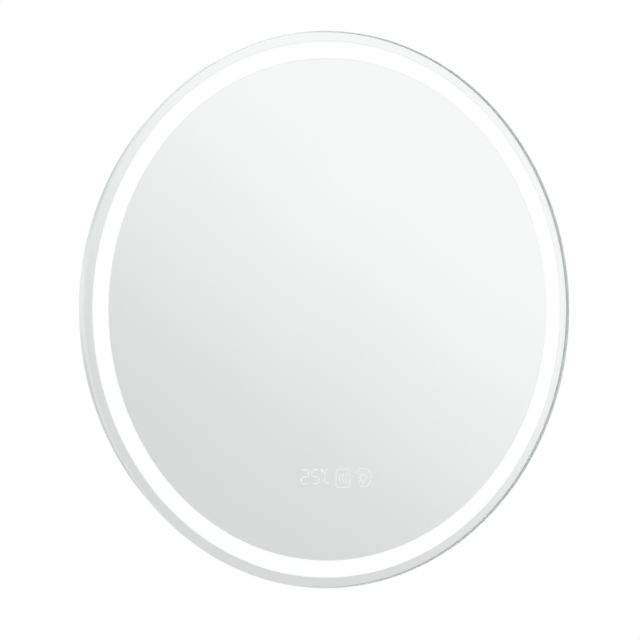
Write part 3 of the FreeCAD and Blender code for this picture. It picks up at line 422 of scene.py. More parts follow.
def roundedOutline(corners, steps=3):
    # closed outline of (radius, depth, rounding), each corner turned into an arc
    points = []
    for index, (radius, depth, rounding) in enumerate(corners):
        here = Vector((radius, depth))
        if not rounding:
            points.append(here)
            continue
        back = (Vector(corners[index - 1][:2]) - here).normalized()
        ahead = (Vector(corners[(index + 1) % len(corners)][:2]) - here).normalized()
        half = back.angle(ahead) / 2
        centre = here + (back + ahead).normalized() * (rounding / math.sin(half))
        first = here + back * (rounding / math.tan(half)) - centre
        last = here + ahead * (rounding / math.tan(half)) - centre
        start = math.atan2(first.y, first.x)
        sweep = (math.atan2(last.y, last.x) - start + math.pi) % fullTurn - math.pi
        for step in range(steps + 1):
            angle = start + sweep * step / steps
            points.append(centre + rounding * Vector((math.cos(angle), math.sin(angle))))
    return points


def turned(name, corners, materials=(), pick=None, around=(0, mirrorZ), sides=480, gap=0.0, steps=3):
    # turns an outline about an axis along Y; a gap leaves a seam at the lowest point, its ends closed
    outline = roundedOutline(corners, steps)
    shape = bmesh.new()
    loops = []
    for index in range(sides + 1 if gap else sides):
        angle = -math.pi / 2 + gap / 2 + (fullTurn - gap) * index / sides
        loop = []
        for radius, depth in outline:
            at = (around[0] + radius * math.cos(angle), depth, around[1] + radius * math.sin(angle))
            loop.append(shape.verts.new(at))
        loops.append(loop)
    pairs = list(zip(loops, loops[1:]))
    if not gap:
        pairs.append((loops[-1], loops[0]))
    size = len(outline)
    for first, second in pairs:
        for index in range(size):
            after = (index + 1) % size
            shape.faces.new((first[index], second[index], second[after], first[after]))
    if gap:
        shape.faces.new(loops[0][::-1])
        shape.faces.new(loops[-1])
    bmesh.ops.remove_doubles(shape, verts=shape.verts, dist=1e-7)
    bmesh.ops.recalc_face_normals(shape, faces=shape.faces)
    mesh = bpy.data.meshes.new(name)
    shape.to_mesh(mesh)
    shape.free()
    return finishMesh(mesh, materials, pick)


def smoothCopy(node, name, body, slot):
    # the solid's own shape with its triangles joined, so that rounds shade smoothly
    mesh = nodes[node].data.copy()
    mesh.name = name
    mesh.materials.clear()
    shape = bmesh.new()
    shape.from_mesh(mesh)
    bmesh.ops.remove_doubles(shape, verts=shape.verts, dist=1e-6)
    shape.to_mesh(mesh)
    shape.free()
    for extra in ("custom_normal", "sharp_face"):
        if extra in mesh.attributes:
            mesh.attributes.remove(mesh.attributes[extra])
    linkPiece(name, finishMesh(mesh, [finish[slot]]), body, slot, node)


# Mirror plate: glass, silvering and the frosted band
# (the films reach a hair into the glass, so light meets them with no air between)
plateSizes = {
    "radius": 0.300, "bevel": 0.001, "arris": 0.0003, "front": -0.032, "back": -0.027, "silverBack": -0.0268,
    "bandInner": 0.270, "bandOuter": 0.289, "filmGap": 0.00005, "bite": 0.00002,
    "core": 0.120, "flatInset": 0.003, "edgeInset": 0.0016,
}


def mirrorPlate(sizes):
    front, back = sizes["front"], sizes["back"]
    filmFront, filmBack = back - sizes["bite"], sizes["silverBack"]
    rim, bevel, arris, core = sizes["radius"], sizes["bevel"], sizes["arris"], sizes["core"]
    flat = rim - sizes["flatInset"]
    edgeFrom = rim - sizes["edgeInset"]
    low, high = sizes["bandInner"], sizes["bandOuter"]

    def glassOrEdge(face):
        return 1 if math.hypot(face.center.x, face.center.z - mirrorZ) > edgeFrom else 0

    def silverOrPaint(face):
        # silver looks forward, and the rest is its backing paint
        return 0 if face.normal.y < -0.5 else 1

    def film(inner, outer):
        return [(inner, filmFront, 0), (outer, filmFront, 0), (outer, filmBack, 0), (inner, filmBack, 0)]

    corners = [
        (0.0, front, 0), (core, front, 0), (flat, front, 0), (rim - bevel, front, arris),
        (rim, front + bevel, arris), (rim, back - bevel, arris), (rim - bevel, back, arris), (flat, back, 0),
        (core, back, 0), (0.0, back, 0),
    ]
    mesh = turned("mirrorGlass", corners, [finish["glass"], finish["edge"]], glassOrEdge)
    linkPiece("mirrorGlass", mesh, "mirror", "glass", "mirror_glass")

    silver = bmesh.new()
    for section in (film(0.0, low - sizes["filmGap"]), film(high + sizes["filmGap"], rim - bevel)):
        part = turned("part", section)
        silver.from_mesh(part)
        bpy.data.meshes.remove(part)
    mesh = bpy.data.meshes.new("mirrorSilvering")
    silver.to_mesh(mesh)
    silver.free()
    mesh = finishMesh(mesh, [finish["silver"], finish["backPaint"]], silverOrPaint)
    linkPiece("mirrorSilvering", mesh, "mirror", "silver", "mirror_silver")

    mesh = turned("frostedBand", film(low, high), [finish["frosted"]])
    linkPiece("frostedBand", mesh, "mirror", "frosted", "frosted_band")


mirrorPlate(plateSizes)
print("mirror plate made")


# Frame hoop: one rolled section with a seam at the bottom
hoopSizes = {
    "outer": 0.292, "inner": 0.2905, "lipOuter": 0.298, "shelfInner": 0.272, "rimInner": 0.285,
    "lipFront": -0.026, "lipBack": -0.0245, "shelfFront": -0.0145, "shelfBack": -0.013, "rimFront": -0.0035,
    "rimBack": -0.002, "corner": 0.001, "edge": 0.00025, "seam": 0.0005,
}


def frameHoop(sizes):
    edge, corner = sizes["edge"], sizes["corner"]
    corners = [
        (sizes["lipOuter"], sizes["lipFront"], edge), (sizes["lipOuter"], sizes["lipBack"], edge),
        (sizes["outer"], sizes["lipBack"], edge), (sizes["outer"], sizes["rimBack"], corner),
        (sizes["rimInner"], sizes["rimBack"], edge), (sizes["rimInner"], sizes["rimFront"], edge),
        (sizes["inner"], sizes["rimFront"], edge), (sizes["inner"], sizes["shelfBack"], edge),
        (sizes["shelfInner"], sizes["shelfBack"], edge), (sizes["shelfInner"], sizes["shelfFront"], edge),
        (sizes["inner"], sizes["shelfFront"], edge), (sizes["inner"], sizes["lipFront"], edge),
    ]
    mesh = turned("frameHoop", corners, [finish["frame"]], gap=sizes["seam"] / sizes["outer"])
    linkPiece("frameHoop", mesh, "mirror", "frame", "frame_hoop")


frameHoop(hoopSizes)
print("frame hoop made")


# Geometry Nodes helpers


def newTree(name, inputs):
    tree = bpy.data.node_groups.new(name, "GeometryNodeTree")
    tree.interface.new_socket("Geometry", in_out="INPUT", socket_type="NodeSocketGeometry")
    for label, kind, value in inputs:
        socket = tree.interface.new_socket(label, in_out="INPUT", socket_type="NodeSocket" + kind)
        if value is not None:
            socket.default_value = value
    tree.interface.new_socket("Geometry", in_out="OUTPUT", socket_type="NodeSocketGeometry")
    return tree, tree.nodes.new("NodeGroupInput").outputs, tree.nodes.new("NodeGroupOutput")


def closeTree(tree, output, geometry, material):
    # realised and given its finish, because instances aren't kept
    solid = addNode(tree, "GeometryNodeRealizeInstances", {"Geometry": geometry}).outputs[0]
    solid = addNode(tree, "GeometryNodeSetMaterial", {"Geometry": solid, "Material": material}).outputs[0]
    tree.links.new(solid, output.inputs[0])


def moved(tree, geometry, offset=(0, 0, 0), rotation=(0, 0, 0)):
    inputs = {"Geometry": geometry, "Translation": offset, "Rotation": rotation}
    return addNode(tree, "GeometryNodeTransform", inputs).outputs[0]


def cylinder(tree, sides, radius, depth):
    inputs = {"Vertices": sides, "Radius": radius, "Depth": depth}
    return addNode(tree, "GeometryNodeMeshCylinder", inputs).outputs["Mesh"]


def cutWith(tree, operation, cutters, shape=None):
    cut = addNode(tree, "GeometryNodeMeshBoolean", operation=operation, solver="EXACT")
    if shape:
        tree.links.new(shape, cut.inputs["Mesh 1"])
    for cutter in cutters:
        tree.links.new(cutter, cut.inputs["Mesh 2"])
    return cut.outputs["Mesh"]


def joined(tree, first, second):
    whole = addNode(tree, "GeometryNodeJoinGeometry", {0: first})
    tree.links.new(second, whole.inputs[0])
    return whole.outputs[0]


def grown(name, source, tree, values):
    # runs a tree on a small mesh of points or lines and keeps the result as a plain mesh
    holder = bpy.data.objects.new(name + "Source", source)
    bpy.context.scene.collection.objects.link(holder)
    modifier = holder.modifiers.new("grow", "NODES")
    modifier.node_group = tree
    for item in tree.interface.items_tree:
        if item.item_type == "SOCKET" and item.in_out == "INPUT" and item.name in values:
            modifier[item.identifier] = values[item.name]
    holder.update_tag()
    graph = bpy.context.evaluated_depsgraph_get()
    result = bpy.data.meshes.new_from_object(holder.evaluated_get(graph))
    result.name = name
    bpy.data.objects.remove(holder)
    bpy.data.meshes.remove(source)
    return result


def wireMesh(points, edges=()):
    mesh = bpy.data.meshes.new("wire")
    mesh.from_pydata(points, edges, [])
    return mesh


fastenerSides = {"head": 40, "domeRings": 28, "recess": 20, "shank": 24}


def fastenerTree(name, recess):
    # domed head standing on +Y with its shank behind it; recess is cross, slot, round or none
    tree, size, output = newTree(name, [
        ("Head Radius", "Float", 0.00275), ("Head Height", "Float", 0.0018),
        ("Dome Radius", "Float", 0.0032), ("Recess Length", "Float", 0.0026),
        ("Recess Width", "Float", 0.0006), ("Recess Depth", "Float", 0.0011),
        ("Shank Radius", "Float", 0.0015), ("Shank Length", "Float", 0.006),
        ("Turn Spread", "Float", 3.1), ("Seed", "Int", 3), ("Finish", "Material", None),
    ])
    maths = partial(addMath, tree)
    sides = fastenerSides

    def lifted(geometry, height):
        return moved(tree, geometry, joinAxes(tree, z=height))

    top = size["Head Height"]
    head = lifted(cylinder(tree, sides["head"], size["Head Radius"], top), maths("MULTIPLY", top, 0.5))
    inputs = {"Segments": sides["head"], "Rings": sides["domeRings"], "Radius": size["Dome Radius"]}
    ball = addNode(tree, "GeometryNodeMeshUVSphere", inputs).outputs["Mesh"]
    ball = lifted(ball, maths("SUBTRACT", top, size["Dome Radius"]))
    shape = cutWith(tree, "INTERSECT", [head, ball])

    depth = maths("MULTIPLY", size["Recess Depth"], 2.0)
    cutters = []
    if recess == "round":
        cutters.append(cylinder(tree, sides["recess"], size["Recess Width"], depth))
    for turn in {"cross": (0, math.pi / 2), "slot": (0,)}.get(recess, ()):
        block = joinAxes(tree, size["Recess Length"], size["Recess Width"], depth)
        cube = addNode(tree, "GeometryNodeMeshCube", {"Size": block}).outputs["Mesh"]
        cutters.append(moved(tree, cube, rotation=(0, 0, turn)))
    if cutters:
        shape = cutWith(tree, "DIFFERENCE", [lifted(cutter, top) for cutter in cutters], shape)

    shank = cylinder(tree, sides["shank"], size["Shank Radius"], size["Shank Length"])
    whole = joined(tree, shape, lifted(shank, maths("MULTIPLY", size["Shank Length"], -0.5)))
    spin = addNode(tree, "FunctionNodeRandomValue", {"Seed": size["Seed"]}, data_type="FLOAT")
    tree.links.new(size["Turn Spread"], spin.inputs[3])
    stand = joinAxes(tree, -math.pi / 2, spin.outputs[1])
    placed = addNode(tree, "GeometryNodeInstanceOnPoints", {
        "Points": size["Geometry"], "Instance": whole, "Rotation": stand}).outputs[0]
    closeTree(tree, output, placed, size["Finish"])
    return tree


crossTree = fastenerTree("crossHeadScrew", "cross")
slotTree = fastenerTree("slottedScrew", "slot")
rivetTree = fastenerTree("blindRivet", "round")
padTree = fastenerTree("domedPad", "none")


def fastenerSet(name, tree, body, slot, node, level, places, values):
    points = [(x, level, mirrorZ + z) for x, z in places]
    mesh = grown(name, wireMesh(points), tree, {**values, "Finish": finish[slot]})
    mesh.shade_smooth()
    mesh.set_sharp_from_angle(angle=headFoldAngle)
    linkPiece(name, mesh, body, slot, node)


def onCircle(radius, degrees):
    angles = [math.radians(degree) for degree in degrees]
    return [(radius * math.cos(angle), radius * math.sin(angle)) for angle in angles]


# Fasteners of the back, placed across and up from the mirror's centre
panHead = {"Head Radius": 0.00275, "Head Height": 0.0018, "Dome Radius": 0.0034, "Shank Radius": 0.0015}
panelSizes = {"circle": 0.2775, "count": 8, "level": -0.012, "shank": 0.0045}
screwSets = {
    "trayScrews": {
        "node": "tray_screws", "level": -0.0104, "shank": 0.0046, "seed": 5,
        "places": [(-0.104, -0.053), (-0.104, 0.003), (0.104, -0.053), (0.104, 0.003), (-0.060, 0.019),
                   (0.060, 0.019)]},
    "entryScrews": {
        "node": "entry_screws", "level": -0.005, "shank": 0.008, "seed": 7,
        "places": [(-0.092, -0.057), (-0.092, 0.007)]},
    "driverScrews": {
        "node": "driver_screws", "level": -0.0209, "shank": 0.0046, "seed": 9,
        "places": [(-0.029, -0.011), (0.071, -0.011)]},
}


def rearScrews(panel, sets):
    degrees = [(index + 0.5) * 360 / panel["count"] for index in range(panel["count"])]
    places = onCircle(panel["circle"], degrees)
    values = {**panHead, "Shank Length": panel["shank"]}
    fastenerSet("panelScrews", crossTree, "mirror", "zinc", "panel_screws", panel["level"], places, values)
    for name, one in sets.items():
        values = {**panHead, "Shank Length": one["shank"], "Seed": one["seed"]}
        fastenerSet(name, crossTree, "mirror", "zinc", one["node"], one["level"], one["places"], values)


rearScrews(panelSizes, screwSets)

coverScrewSizes = {
    "place": (0.015, 0.006), "level": -0.0034,
    "shape": {
        "Head Radius": 0.0035, "Head Height": 0.0012, "Dome Radius": 0.0075, "Recess Length": 0.009,
        "Recess Width": 0.001, "Recess Depth": 0.0007, "Shank Radius": 0.0015, "Shank Length": 0.0086,
        "Turn Spread": 0.6, "Seed": 2},
}


def coverScrew(sizes):
    level, places, shape = sizes["level"], [sizes["place"]], sizes["shape"]
    fastenerSet("coverScrew", slotTree, "cover_flap", "zinc", "cover_screw", level, places, shape)


coverScrew(coverScrewSizes)

rivetSizes = {
    "pitch": 0.048, "count": 6, "height": 0.16475, "level": -0.0105,
    "shape": {
        "Head Radius": 0.004, "Head Height": 0.0013, "Dome Radius": 0.0068, "Recess Width": 0.0012,
        "Recess Depth": 0.0009, "Shank Radius": 0.002, "Shank Length": 0.0037},
}


def cleatRivets(sizes):
    middle = (sizes["count"] - 1) / 2
    places = [((index - middle) * sizes["pitch"], sizes["height"]) for index in range(sizes["count"])]
    level, shape = sizes["level"], sizes["shape"]
    fastenerSet("cleatRivets", rivetTree, "mirror", "zinc", "cleat_rivets", level, places, shape)


cleatRivets(rivetSizes)

padSizes = {
    "circle": 0.2885, "angles": (45, 135, 225, 315), "level": -0.002,
    "shape": {
        "Head Radius": 0.0028, "Head Height": 0.002, "Dome Radius": 0.0042, "Shank Radius": 0.0026,
        "Shank Length": 0.00002},
}


def bumperPads(sizes):
    places = onCircle(sizes["circle"], sizes["angles"])
    level, shape = sizes["level"], sizes["shape"]
    fastenerSet("bumperPads", padTree, "mirror", "pad_rubber", "bumper_pads", level, places, shape)


bumperPads(padSizes)
print("fasteners and pads made")


# Display digits and the two key marks, cleared in the silvering
inkSizes = {
    "depth": -0.02706, "flatness": 0.02, "level": -0.182, "digitRise": 0.0026,
    "digitWidth": 0.0086, "digitHeight": 0.0148, "digits": [("2", -0.0416), ("5", -0.0290)], "slack": 0.0011,
    "degree": (-0.0164, 0.0014), "letter": ("C", -0.0128, 0.0056), "digitLine": 0.00105, "markLine": 0.00075,
    "steamKey": (0.0094, 0.0086, 0.0098), "lampKey": (0.0345, 0.0100),
}
# lengths as shares of a mark's half width, half height or radius; the ring's ends in degrees
steamShape = {
    "corner": 0.32, "columns": (-0.45, 0, 0.45), "swing": 0.10, "waves": 1.5, "reach": 0.55, "steps": 24,
}
lampShape = {
    "ring": (-112, 152), "bulb": 0.36, "rays": 8, "footRay": 6, "ray": (0.52, 0.68),
    "foot": ((0.56, 0.16), (0.70, 0.11)),
}


def inkTree():
    tree, size, output = newTree("clearedLine", [
        ("Line Width", "Float", 0.001), ("Flatness", "Float", 0.02), ("Depth", "Float", -0.027),
        ("Finish", "Material", None),
    ])
    line = addNode(tree, "GeometryNodeMeshToCurve", {"Mesh": size["Geometry"]}).outputs[0]
    half = addMath(tree, "MULTIPLY", size["Line Width"], 0.5)
    inputs = {"Resolution": 8, "Radius": half}
    profile = addNode(tree, "GeometryNodeCurvePrimitiveCircle", inputs).outputs["Curve"]
    inputs = {"Curve": line, "Profile Curve": profile, "Fill Caps": True}
    tube = addNode(tree, "GeometryNodeCurveToMesh", inputs).outputs[0]
    flat = joinAxes(tree, 1.0, size["Flatness"], 1.0)
    inputs = {"Geometry": tube, "Scale": flat, "Translation": joinAxes(tree, y=size["Depth"])}
    closeTree(tree, output, addNode(tree, "GeometryNodeTransform", inputs).outputs[0], size["Finish"])
    return tree


def lineMesh(lines):
    points = []
    edges = []
    for line in lines:
        start = len(points)
        points += [(x, 0, z) for x, z in line]
        edges += [(start + index, start + index + 1) for index in range(len(line) - 1)]
    return wireMesh(points, edges)


def digitLines(figure, left, middle, width, sizes):
    # seven-segment figure: the ends of each segment, then which are lit
    half, slack = sizes["digitHeight"] / 2, sizes["slack"]
    ends = {
        "a": ((slack, half), (width - slack, half)), "b": ((width, half - slack), (width, slack)),
        "c": ((width, -slack), (width, -half + slack)), "d": ((slack, -half), (width - slack, -half)),
        "e": ((0, -slack), (0, -half + slack)), "f": ((0, half - slack), (0, slack)),
        "g": ((slack, 0), (width - slack, 0)),
    }
    lit = {"2": "abged", "5": "afgcd", "C": "afed"}[figure]
    return [[(left + x, middle + z) for x, z in ends[part]] for part in lit]


def arcLine(x, z, radius, start=0, end=360, steps=28):
    angles = [math.radians(start + (end - start) * step / steps) for step in range(steps + 1)]
    return [(x + radius * math.cos(angle), z + radius * math.sin(angle)) for angle in angles]


def roundedFrame(x, z, wide, tall, corner):
    line = []
    for turn, (side, level) in enumerate([(1, 1), (-1, 1), (-1, -1), (1, -1)]):
        at = (x + side * (wide - corner), z + level * (tall - corner))
        line += arcLine(*at, corner, turn * 90, turn * 90 + 90, 6)
    return line + line[:1]


def steamMark(x, z, wide, tall, shape):
    # three rising waves in a rounded frame
    lines = [roundedFrame(x, z, wide, tall, wide * shape["corner"])]
    for column in shape["columns"]:
        wave = []
        for step in range(shape["steps"] + 1):
            share = step / shape["steps"]
            swing = wide * shape["swing"] * math.sin(share * fullTurn * shape["waves"])
            wave.append((x + column * wide + swing, z + tall * shape["reach"] * (2 * share - 1)))
        lines.append(wave)
    return lines


def lampMark(x, z, radius, shape):
    # a lamp with short rays and its foot, in a ring left open at the lower left
    lines = [arcLine(x, z, radius, *shape["ring"]), arcLine(x, z, radius * shape["bulb"])]
    for turn in range(shape["rays"]):
        angle = turn * fullTurn / shape["rays"]
        if turn != shape["footRay"]:
            ends = [radius * share for share in shape["ray"]]
            lines.append([(x + end * math.cos(angle), z + end * math.sin(angle)) for end in ends])
    for level, reach in shape["foot"]:
        lines.append([(x - radius * reach, z - radius * level), (x + radius * reach, z - radius * level)])
    return lines


def displayMarks(sizes):
    middle = mirrorZ + sizes["level"]
    level = middle + sizes["digitRise"]
    tree = inkTree()
    values = {"Flatness": sizes["flatness"], "Depth": sizes["depth"], "Finish": finish["glow"]}
    lines = []
    for figure, left in sizes["digits"]:
        lines += digitLines(figure, left, level, sizes["digitWidth"], sizes)
    x, radius = sizes["degree"]
    lines.append(arcLine(x, level + sizes["digitHeight"] / 2 - radius, radius))
    figure, left, width = sizes["letter"]
    lines += digitLines(figure, left, level, width, sizes)
    mesh = grown("displayFigures", lineMesh(lines), tree, {**values, "Line Width": sizes["digitLine"]})
    linkPiece("displayFigures", mesh, "mirror", "frosted")
    x, wide, tall = sizes["steamKey"]
    lines = steamMark(x, middle, wide, tall, steamShape)
    x, radius = sizes["lampKey"]
    lines += lampMark(x, middle, radius, lampShape)
    mesh = grown("keyMarks", lineMesh(lines), tree, {**values, "Line Width": sizes["markLine"]})
    linkPiece("keyMarks", mesh, "mirror", "frosted")


displayMarks(inkSizes)
print("display figures and key marks made")


# Light ring: chips on the tape, each with a lens sunk in its well
ledSizes = {
    "count": 72, "seat": 0.28998, "level": -0.02015, "length": 0.0035, "width": 0.0028, "height": 0.0007,
    "lens": 0.0011, "lensSides": 14, "lensFit": 0.99, "wellShare": 0.5, "lensShare": 0.2, "sinkShare": 0.15,
}


def ledRing(sizes):
    tree, size, output = newTree("chipRing", [
        ("Chips", "Int", 72), ("Ring Radius", "Float", 0.29), ("Level", "Float", -0.02),
        ("Centre Z", "Float", -0.13), ("Chip Size", "Vector", (0.0007, 0.0028, 0.0035)),
        ("Lens Radius", "Float", 0.0011), ("Housing", "Material", None), ("Lens", "Material", None),
    ])
    maths = partial(addMath, tree)
    index = addNode(tree, "GeometryNodeInputIndex").outputs[0]
    turn = maths("MULTIPLY", maths("DIVIDE", maths("ADD", index, 0.5), size["Chips"]), fullTurn)
    x = maths("MULTIPLY", maths("COSINE", turn), size["Ring Radius"])
    z = maths("ADD", maths("MULTIPLY", maths("SINE", turn), size["Ring Radius"]), size["Centre Z"])
    inputs = {"Count": size["Chips"], "Position": joinAxes(tree, x, size["Level"], z)}
    points = addNode(tree, "GeometryNodePoints", inputs).outputs[0]

    thick = addNode(tree, "ShaderNodeSeparateXYZ", {0: size["Chip Size"]}).outputs[0]
    lay = (0, math.pi / 2, 0)
    face = joinAxes(tree, maths("MULTIPLY", thick, -0.5))
    cube = addNode(tree, "GeometryNodeMeshCube", {"Size": size["Chip Size"]}).outputs["Mesh"]
    depth = maths("MULTIPLY", thick, sizes["wellShare"])
    well = cylinder(tree, sizes["lensSides"], size["Lens Radius"], depth)
    housing = cutWith(tree, "DIFFERENCE", [moved(tree, well, face, lay)], cube)
    radius = maths("MULTIPLY", size["Lens Radius"], sizes["lensFit"])
    lens = cylinder(tree, sizes["lensSides"], radius, maths("MULTIPLY", thick, sizes["lensShare"]))
    lens = moved(tree, lens, joinAxes(tree, maths("MULTIPLY", thick, -sizes["sinkShare"])), lay)
    inputs = {"Geometry": lens, "Name": "lensPart", "Value": True}
    lens = addNode(tree, "GeometryNodeStoreNamedAttribute", inputs, data_type="BOOLEAN", domain="FACE")
    chip = moved(tree, joined(tree, housing, lens.outputs[0]), face)

    facing = joinAxes(tree, y=maths("MULTIPLY", turn, -1.0))
    inputs = {"Points": points, "Instance": chip, "Rotation": facing}
    placed = addNode(tree, "GeometryNodeInstanceOnPoints", inputs).outputs[0]
    solid = addNode(tree, "GeometryNodeRealizeInstances", {"Geometry": placed}).outputs[0]
    inputs = {"Geometry": solid, "Material": size["Housing"]}
    solid = addNode(tree, "GeometryNodeSetMaterial", inputs).outputs[0]
    isLens = addNode(tree, "GeometryNodeInputNamedAttribute", {"Name": "lensPart"}, data_type="BOOLEAN")
    inputs = {"Geometry": solid, "Selection": isLens.outputs[0], "Material": size["Lens"]}
    tree.links.new(addNode(tree, "GeometryNodeSetMaterial", inputs).outputs[0], output.inputs[0])
    values = {
        "Chips": sizes["count"], "Ring Radius": sizes["seat"], "Level": sizes["level"], "Centre Z": mirrorZ,
        "Chip Size": (sizes["height"], sizes["width"], sizes["length"]), "Lens Radius": sizes["lens"],
        "Housing": finish["led"], "Lens": finish["lens"],
    }
    mesh = grown("ledChips", wireMesh([(0, 0, 0)]), tree, values)
    linkPiece("ledChips", mesh, "mirror", "led", "led_chips")


ledRing(ledSizes)
print("light ring made")


# Cable grommet, with soft rounded lips
grommetSizes = {
    "bore": 0.004, "neck": 0.00595, "outer": 0.0076, "front": -0.0078, "grooveFront": -0.0066,
    "grooveBack": -0.005, "back": -0.0038, "x": -0.085, "z": -0.025, "soft": 0.0005, "groove": 0.00025,
    "sides": 96, "steps": 5,
}


def cableGrommet(sizes):
    bore, neck, outer = sizes["bore"], sizes["neck"], sizes["outer"]
    soft, groove = sizes["soft"], sizes["groove"]
    corners = [
        (bore, sizes["front"], soft), (outer, sizes["front"], soft), (outer, sizes["grooveFront"], groove),
        (neck, sizes["grooveFront"], 0), (neck, sizes["grooveBack"], 0),
        (outer, sizes["grooveBack"], groove), (outer, sizes["back"], soft), (bore, sizes["back"], soft),
    ]
    around = (sizes["x"], mirrorZ + sizes["z"])
    mesh = turned("cableGrommet", corners, [finish["rubber"]], around=around,
                  sides=sizes["sides"], steps=sizes["steps"])
    linkPiece("cableGrommet", mesh, "mirror", "rubber", "cable_grommet")


cableGrommet(grommetSizes)


# Pieces that keep the solid's own shape, with smooth rounds
slotOf = {part["node"]: part["material_slot"] for part in frame["record"]["subparts"]}
kept = [
    ("wall_cleat", "wallCleat", "wall_bracket"), ("mirror_cleat", "mirrorCleat", "mirror"),
    ("back_panel", "backPanel", "mirror"), ("electrics_tray", "electricsTray", "mirror"),
    ("entry_plate", "entryPlate", "mirror"), ("wiring_cover", "wiringCover", "cover_flap"),
    ("driver_case", "driverCase", "mirror"), ("terminal_block", "terminalBlock", "mirror"),
    ("hinge_pin", "hingePins", "mirror"), ("frame_splice", "frameSplice", "mirror"),
    ("splice_rivets", "spliceRivets", "mirror"), ("control_holder", "controlHolder", "mirror"),
    ("control_lead", "controlLead", "mirror"), ("led_lead", "ledLead", "mirror"),
    ("demister_lead", "demisterLead", "mirror"), ("mains_leads", "mainsLeads", "mirror"),
    ("lead_clips", "leadClips", "mirror"), ("lead_grommets", "leadGrommets", "mirror"),
    ("reflector_ring", "reflectorRing", "mirror"), ("diffuser_ring", "diffuserRing", "mirror"),
]
for node, name, body in kept:
    smoothCopy(node, name, body, slotOf[node])

for name, piece in nodes.items():
    if not piece.hide_render:
        piece.data.materials.clear()
        piece.data.materials.append(finish[slotOf[name]])
print("back and inner pieces made")


# Stage: a pale floor well below, as under a mirror on a wall, that further out turns into the
# background's white
stageSizes = {"floorZ": -1.60, "floorHalf": 12.0, "fade": (1.5, 7.0), "tones": (0.86, 0.89), "cloudScale": 3}


def stageFloor(sizes):
    half, level = sizes["floorHalf"], sizes["floorZ"]
    mesh = bpy.data.meshes.new("floor")
    corners = [(-half, -half, level), (half, -half, level), (half, half, level), (-half, half, level)]
    mesh.from_pydata(corners, [], [(0, 1, 2, 3)])
    floor = bpy.data.objects.new("floor", mesh)
    bpy.context.scene.collection.objects.link(floor)
    material = bpy.data.materials.new("paleFloor")
    material.use_nodes = True
    tree = material.node_tree
    tree.nodes.clear()
    maths = partial(addMath, tree)
    path = addNode(tree, "ShaderNodeLightPath").outputs
    cloud = noiseOf(tree, pointIn(tree), sizes["cloudScale"], 3)
    tone = blendColours(tree, ranged(tree, cloud), *[(grey, grey, grey) for grey in sizes["tones"]])
    matt = addNode(tree, "ShaderNodeBsdfDiffuse", {"Color": tone}).outputs[0]
    flat = pointIn(tree, (1, 1, 0))
    distance = addNode(tree, "ShaderNodeVectorMath", {0: flat}, operation="LENGTH").outputs["Value"]
    fade = ranged(tree, distance, span=sizes["fade"], kind="SMOOTHSTEP")
    white = addNode(tree, "ShaderNodeEmission", {"Strength": 1.0}).outputs[0]
    far = maths("MULTIPLY", fade, path["Is Camera Ray"])
    seen = addNode(tree, "ShaderNodeMixShader", {0: far, 1: matt, 2: white}).outputs[0]
    clear = addNode(tree, "ShaderNodeBsdfTransparent").outputs[0]
    mirrored = maths("MAXIMUM", path["Is Glossy Ray"], path["Is Transmission Ray"])
    out = addNode(tree, "ShaderNodeMixShader", {0: mirrored, 1: seen, 2: clear}).outputs[0]
    addNode(tree, "ShaderNodeOutputMaterial", {0: out})
    mesh.materials.append(material)


stageFloor(stageSizes)


# World: white to the camera, an even grey-white to light the object, and a soft ramp in reflections
skySizes = {
    "diffuse": 0.62, "dark": 0.719, "bright": 0.961, "turn": 29.3, "turnSpan": 4.2, "riseSpan": 4.75,
    "across": 0.648, "up": 0.962, "from": -1.11, "to": 0.714, "half": 1.25,
}


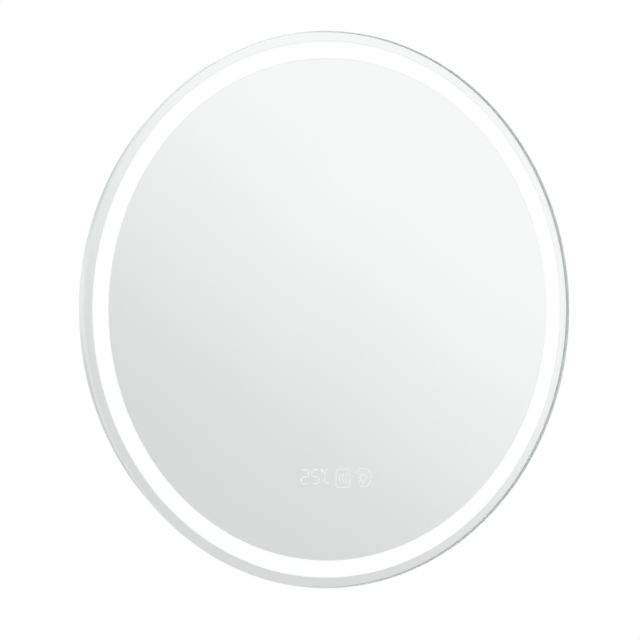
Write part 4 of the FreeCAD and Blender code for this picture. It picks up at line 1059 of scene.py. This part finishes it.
def studioSky(sizes):
    world = bpy.data.worlds.new("studioSky")
    bpy.context.scene.world = world
    world.use_nodes = True
    tree = world.node_tree
    tree.nodes.clear()
    maths = partial(addMath, tree)

    def background(strength):
        inputs = {"Color": (1, 1, 1, 1), "Strength": strength}
        return addNode(tree, "ShaderNodeBackground", inputs).outputs[0]

    facing = addNode(tree, "ShaderNodeTexCoord").outputs["Generated"]
    split = addNode(tree, "ShaderNodeSeparateXYZ", {0: facing}).outputs
    turn = maths("ARCTAN2", split[0], maths("MULTIPLY", split[1], -1.0))
    turn = maths("SUBTRACT", turn, math.radians(sizes["turn"]))
    across = maths("DIVIDE", turn, math.radians(sizes["turnSpan"]))
    up = maths("DIVIDE", maths("ARCSINE", split[2]), math.radians(sizes["riseSpan"]))
    along = maths("ADD", maths("MULTIPLY", across, sizes["across"]), maths("MULTIPLY", up, sizes["up"]))
    # to and fro past the first ramp, so that every side has soft light and shade to reflect
    half = sizes["half"]
    swing = maths("PINGPONG", maths("ADD", along, half), 2 * half)
    span = (sizes["from"] + half, sizes["to"] + half)
    ramp = ranged(tree, swing, sizes["dark"], sizes["bright"], span, "SMOOTHSTEP")
    path = addNode(tree, "ShaderNodeLightPath").outputs
    mirrored = maths("MAXIMUM", path["Is Glossy Ray"], path["Is Transmission Ray"])
    inputs = {0: mirrored, 1: background(sizes["diffuse"]), 2: background(ramp)}
    lit = addNode(tree, "ShaderNodeMixShader", inputs).outputs[0]
    inputs = {0: path["Is Camera Ray"], 1: lit, 2: background(1.0)}
    out = addNode(tree, "ShaderNodeMixShader", inputs).outputs[0]
    addNode(tree, "ShaderNodeOutputWorld", {0: out})


studioSky(skySizes)

# place, width and watts of each lamp; all aim at the mirror's middle
lampSizes = {
    "key": ((-2.2, -2.4, 1.9), 1.6, 34), "fill": ((2.6, -1.2, 0.6), 1.6, 14),
    "rear": ((1.6, 2.2, 2.0), 2.2, 44), "rearFill": ((-2.4, 1.8, 0.2), 1.4, 10),
}
cameraSizes = {
    "place": (-1.7600, -3.1440, -0.1260), "target": (-0.0207, -0.0320, -0.1412), "lens": 186.8, "sensor": 36,
    "near": 0.1, "far": 100,
}


def aimed(name, data, place, target):
    item = bpy.data.objects.new(name, data)
    item.location = place
    item.rotation_euler = (Vector(target) - Vector(place)).to_track_quat("-Z", "Y").to_euler()
    bpy.context.scene.collection.objects.link(item)
    return item


def studioLamps(sizes):
    for name, (place, width, watts) in sizes.items():
        light = bpy.data.lights.new(name, "AREA")
        light.size = width
        light.energy = watts
        aimed(name, light, place, (0, -0.016, mirrorZ)).visible_camera = False


def photoCamera(sizes):
    data = bpy.data.cameras.new("photoCamera")
    data.sensor_width = sizes["sensor"]
    data.lens = sizes["lens"]
    data.clip_start = sizes["near"]
    data.clip_end = sizes["far"]
    bpy.context.scene.camera = aimed("photoCamera", data, sizes["place"], sizes["target"])


studioLamps(lampSizes)
photoCamera(cameraSizes)
bpy.context.scene.view_settings.view_transform = "Standard"
print("stage, lamps and camera set")
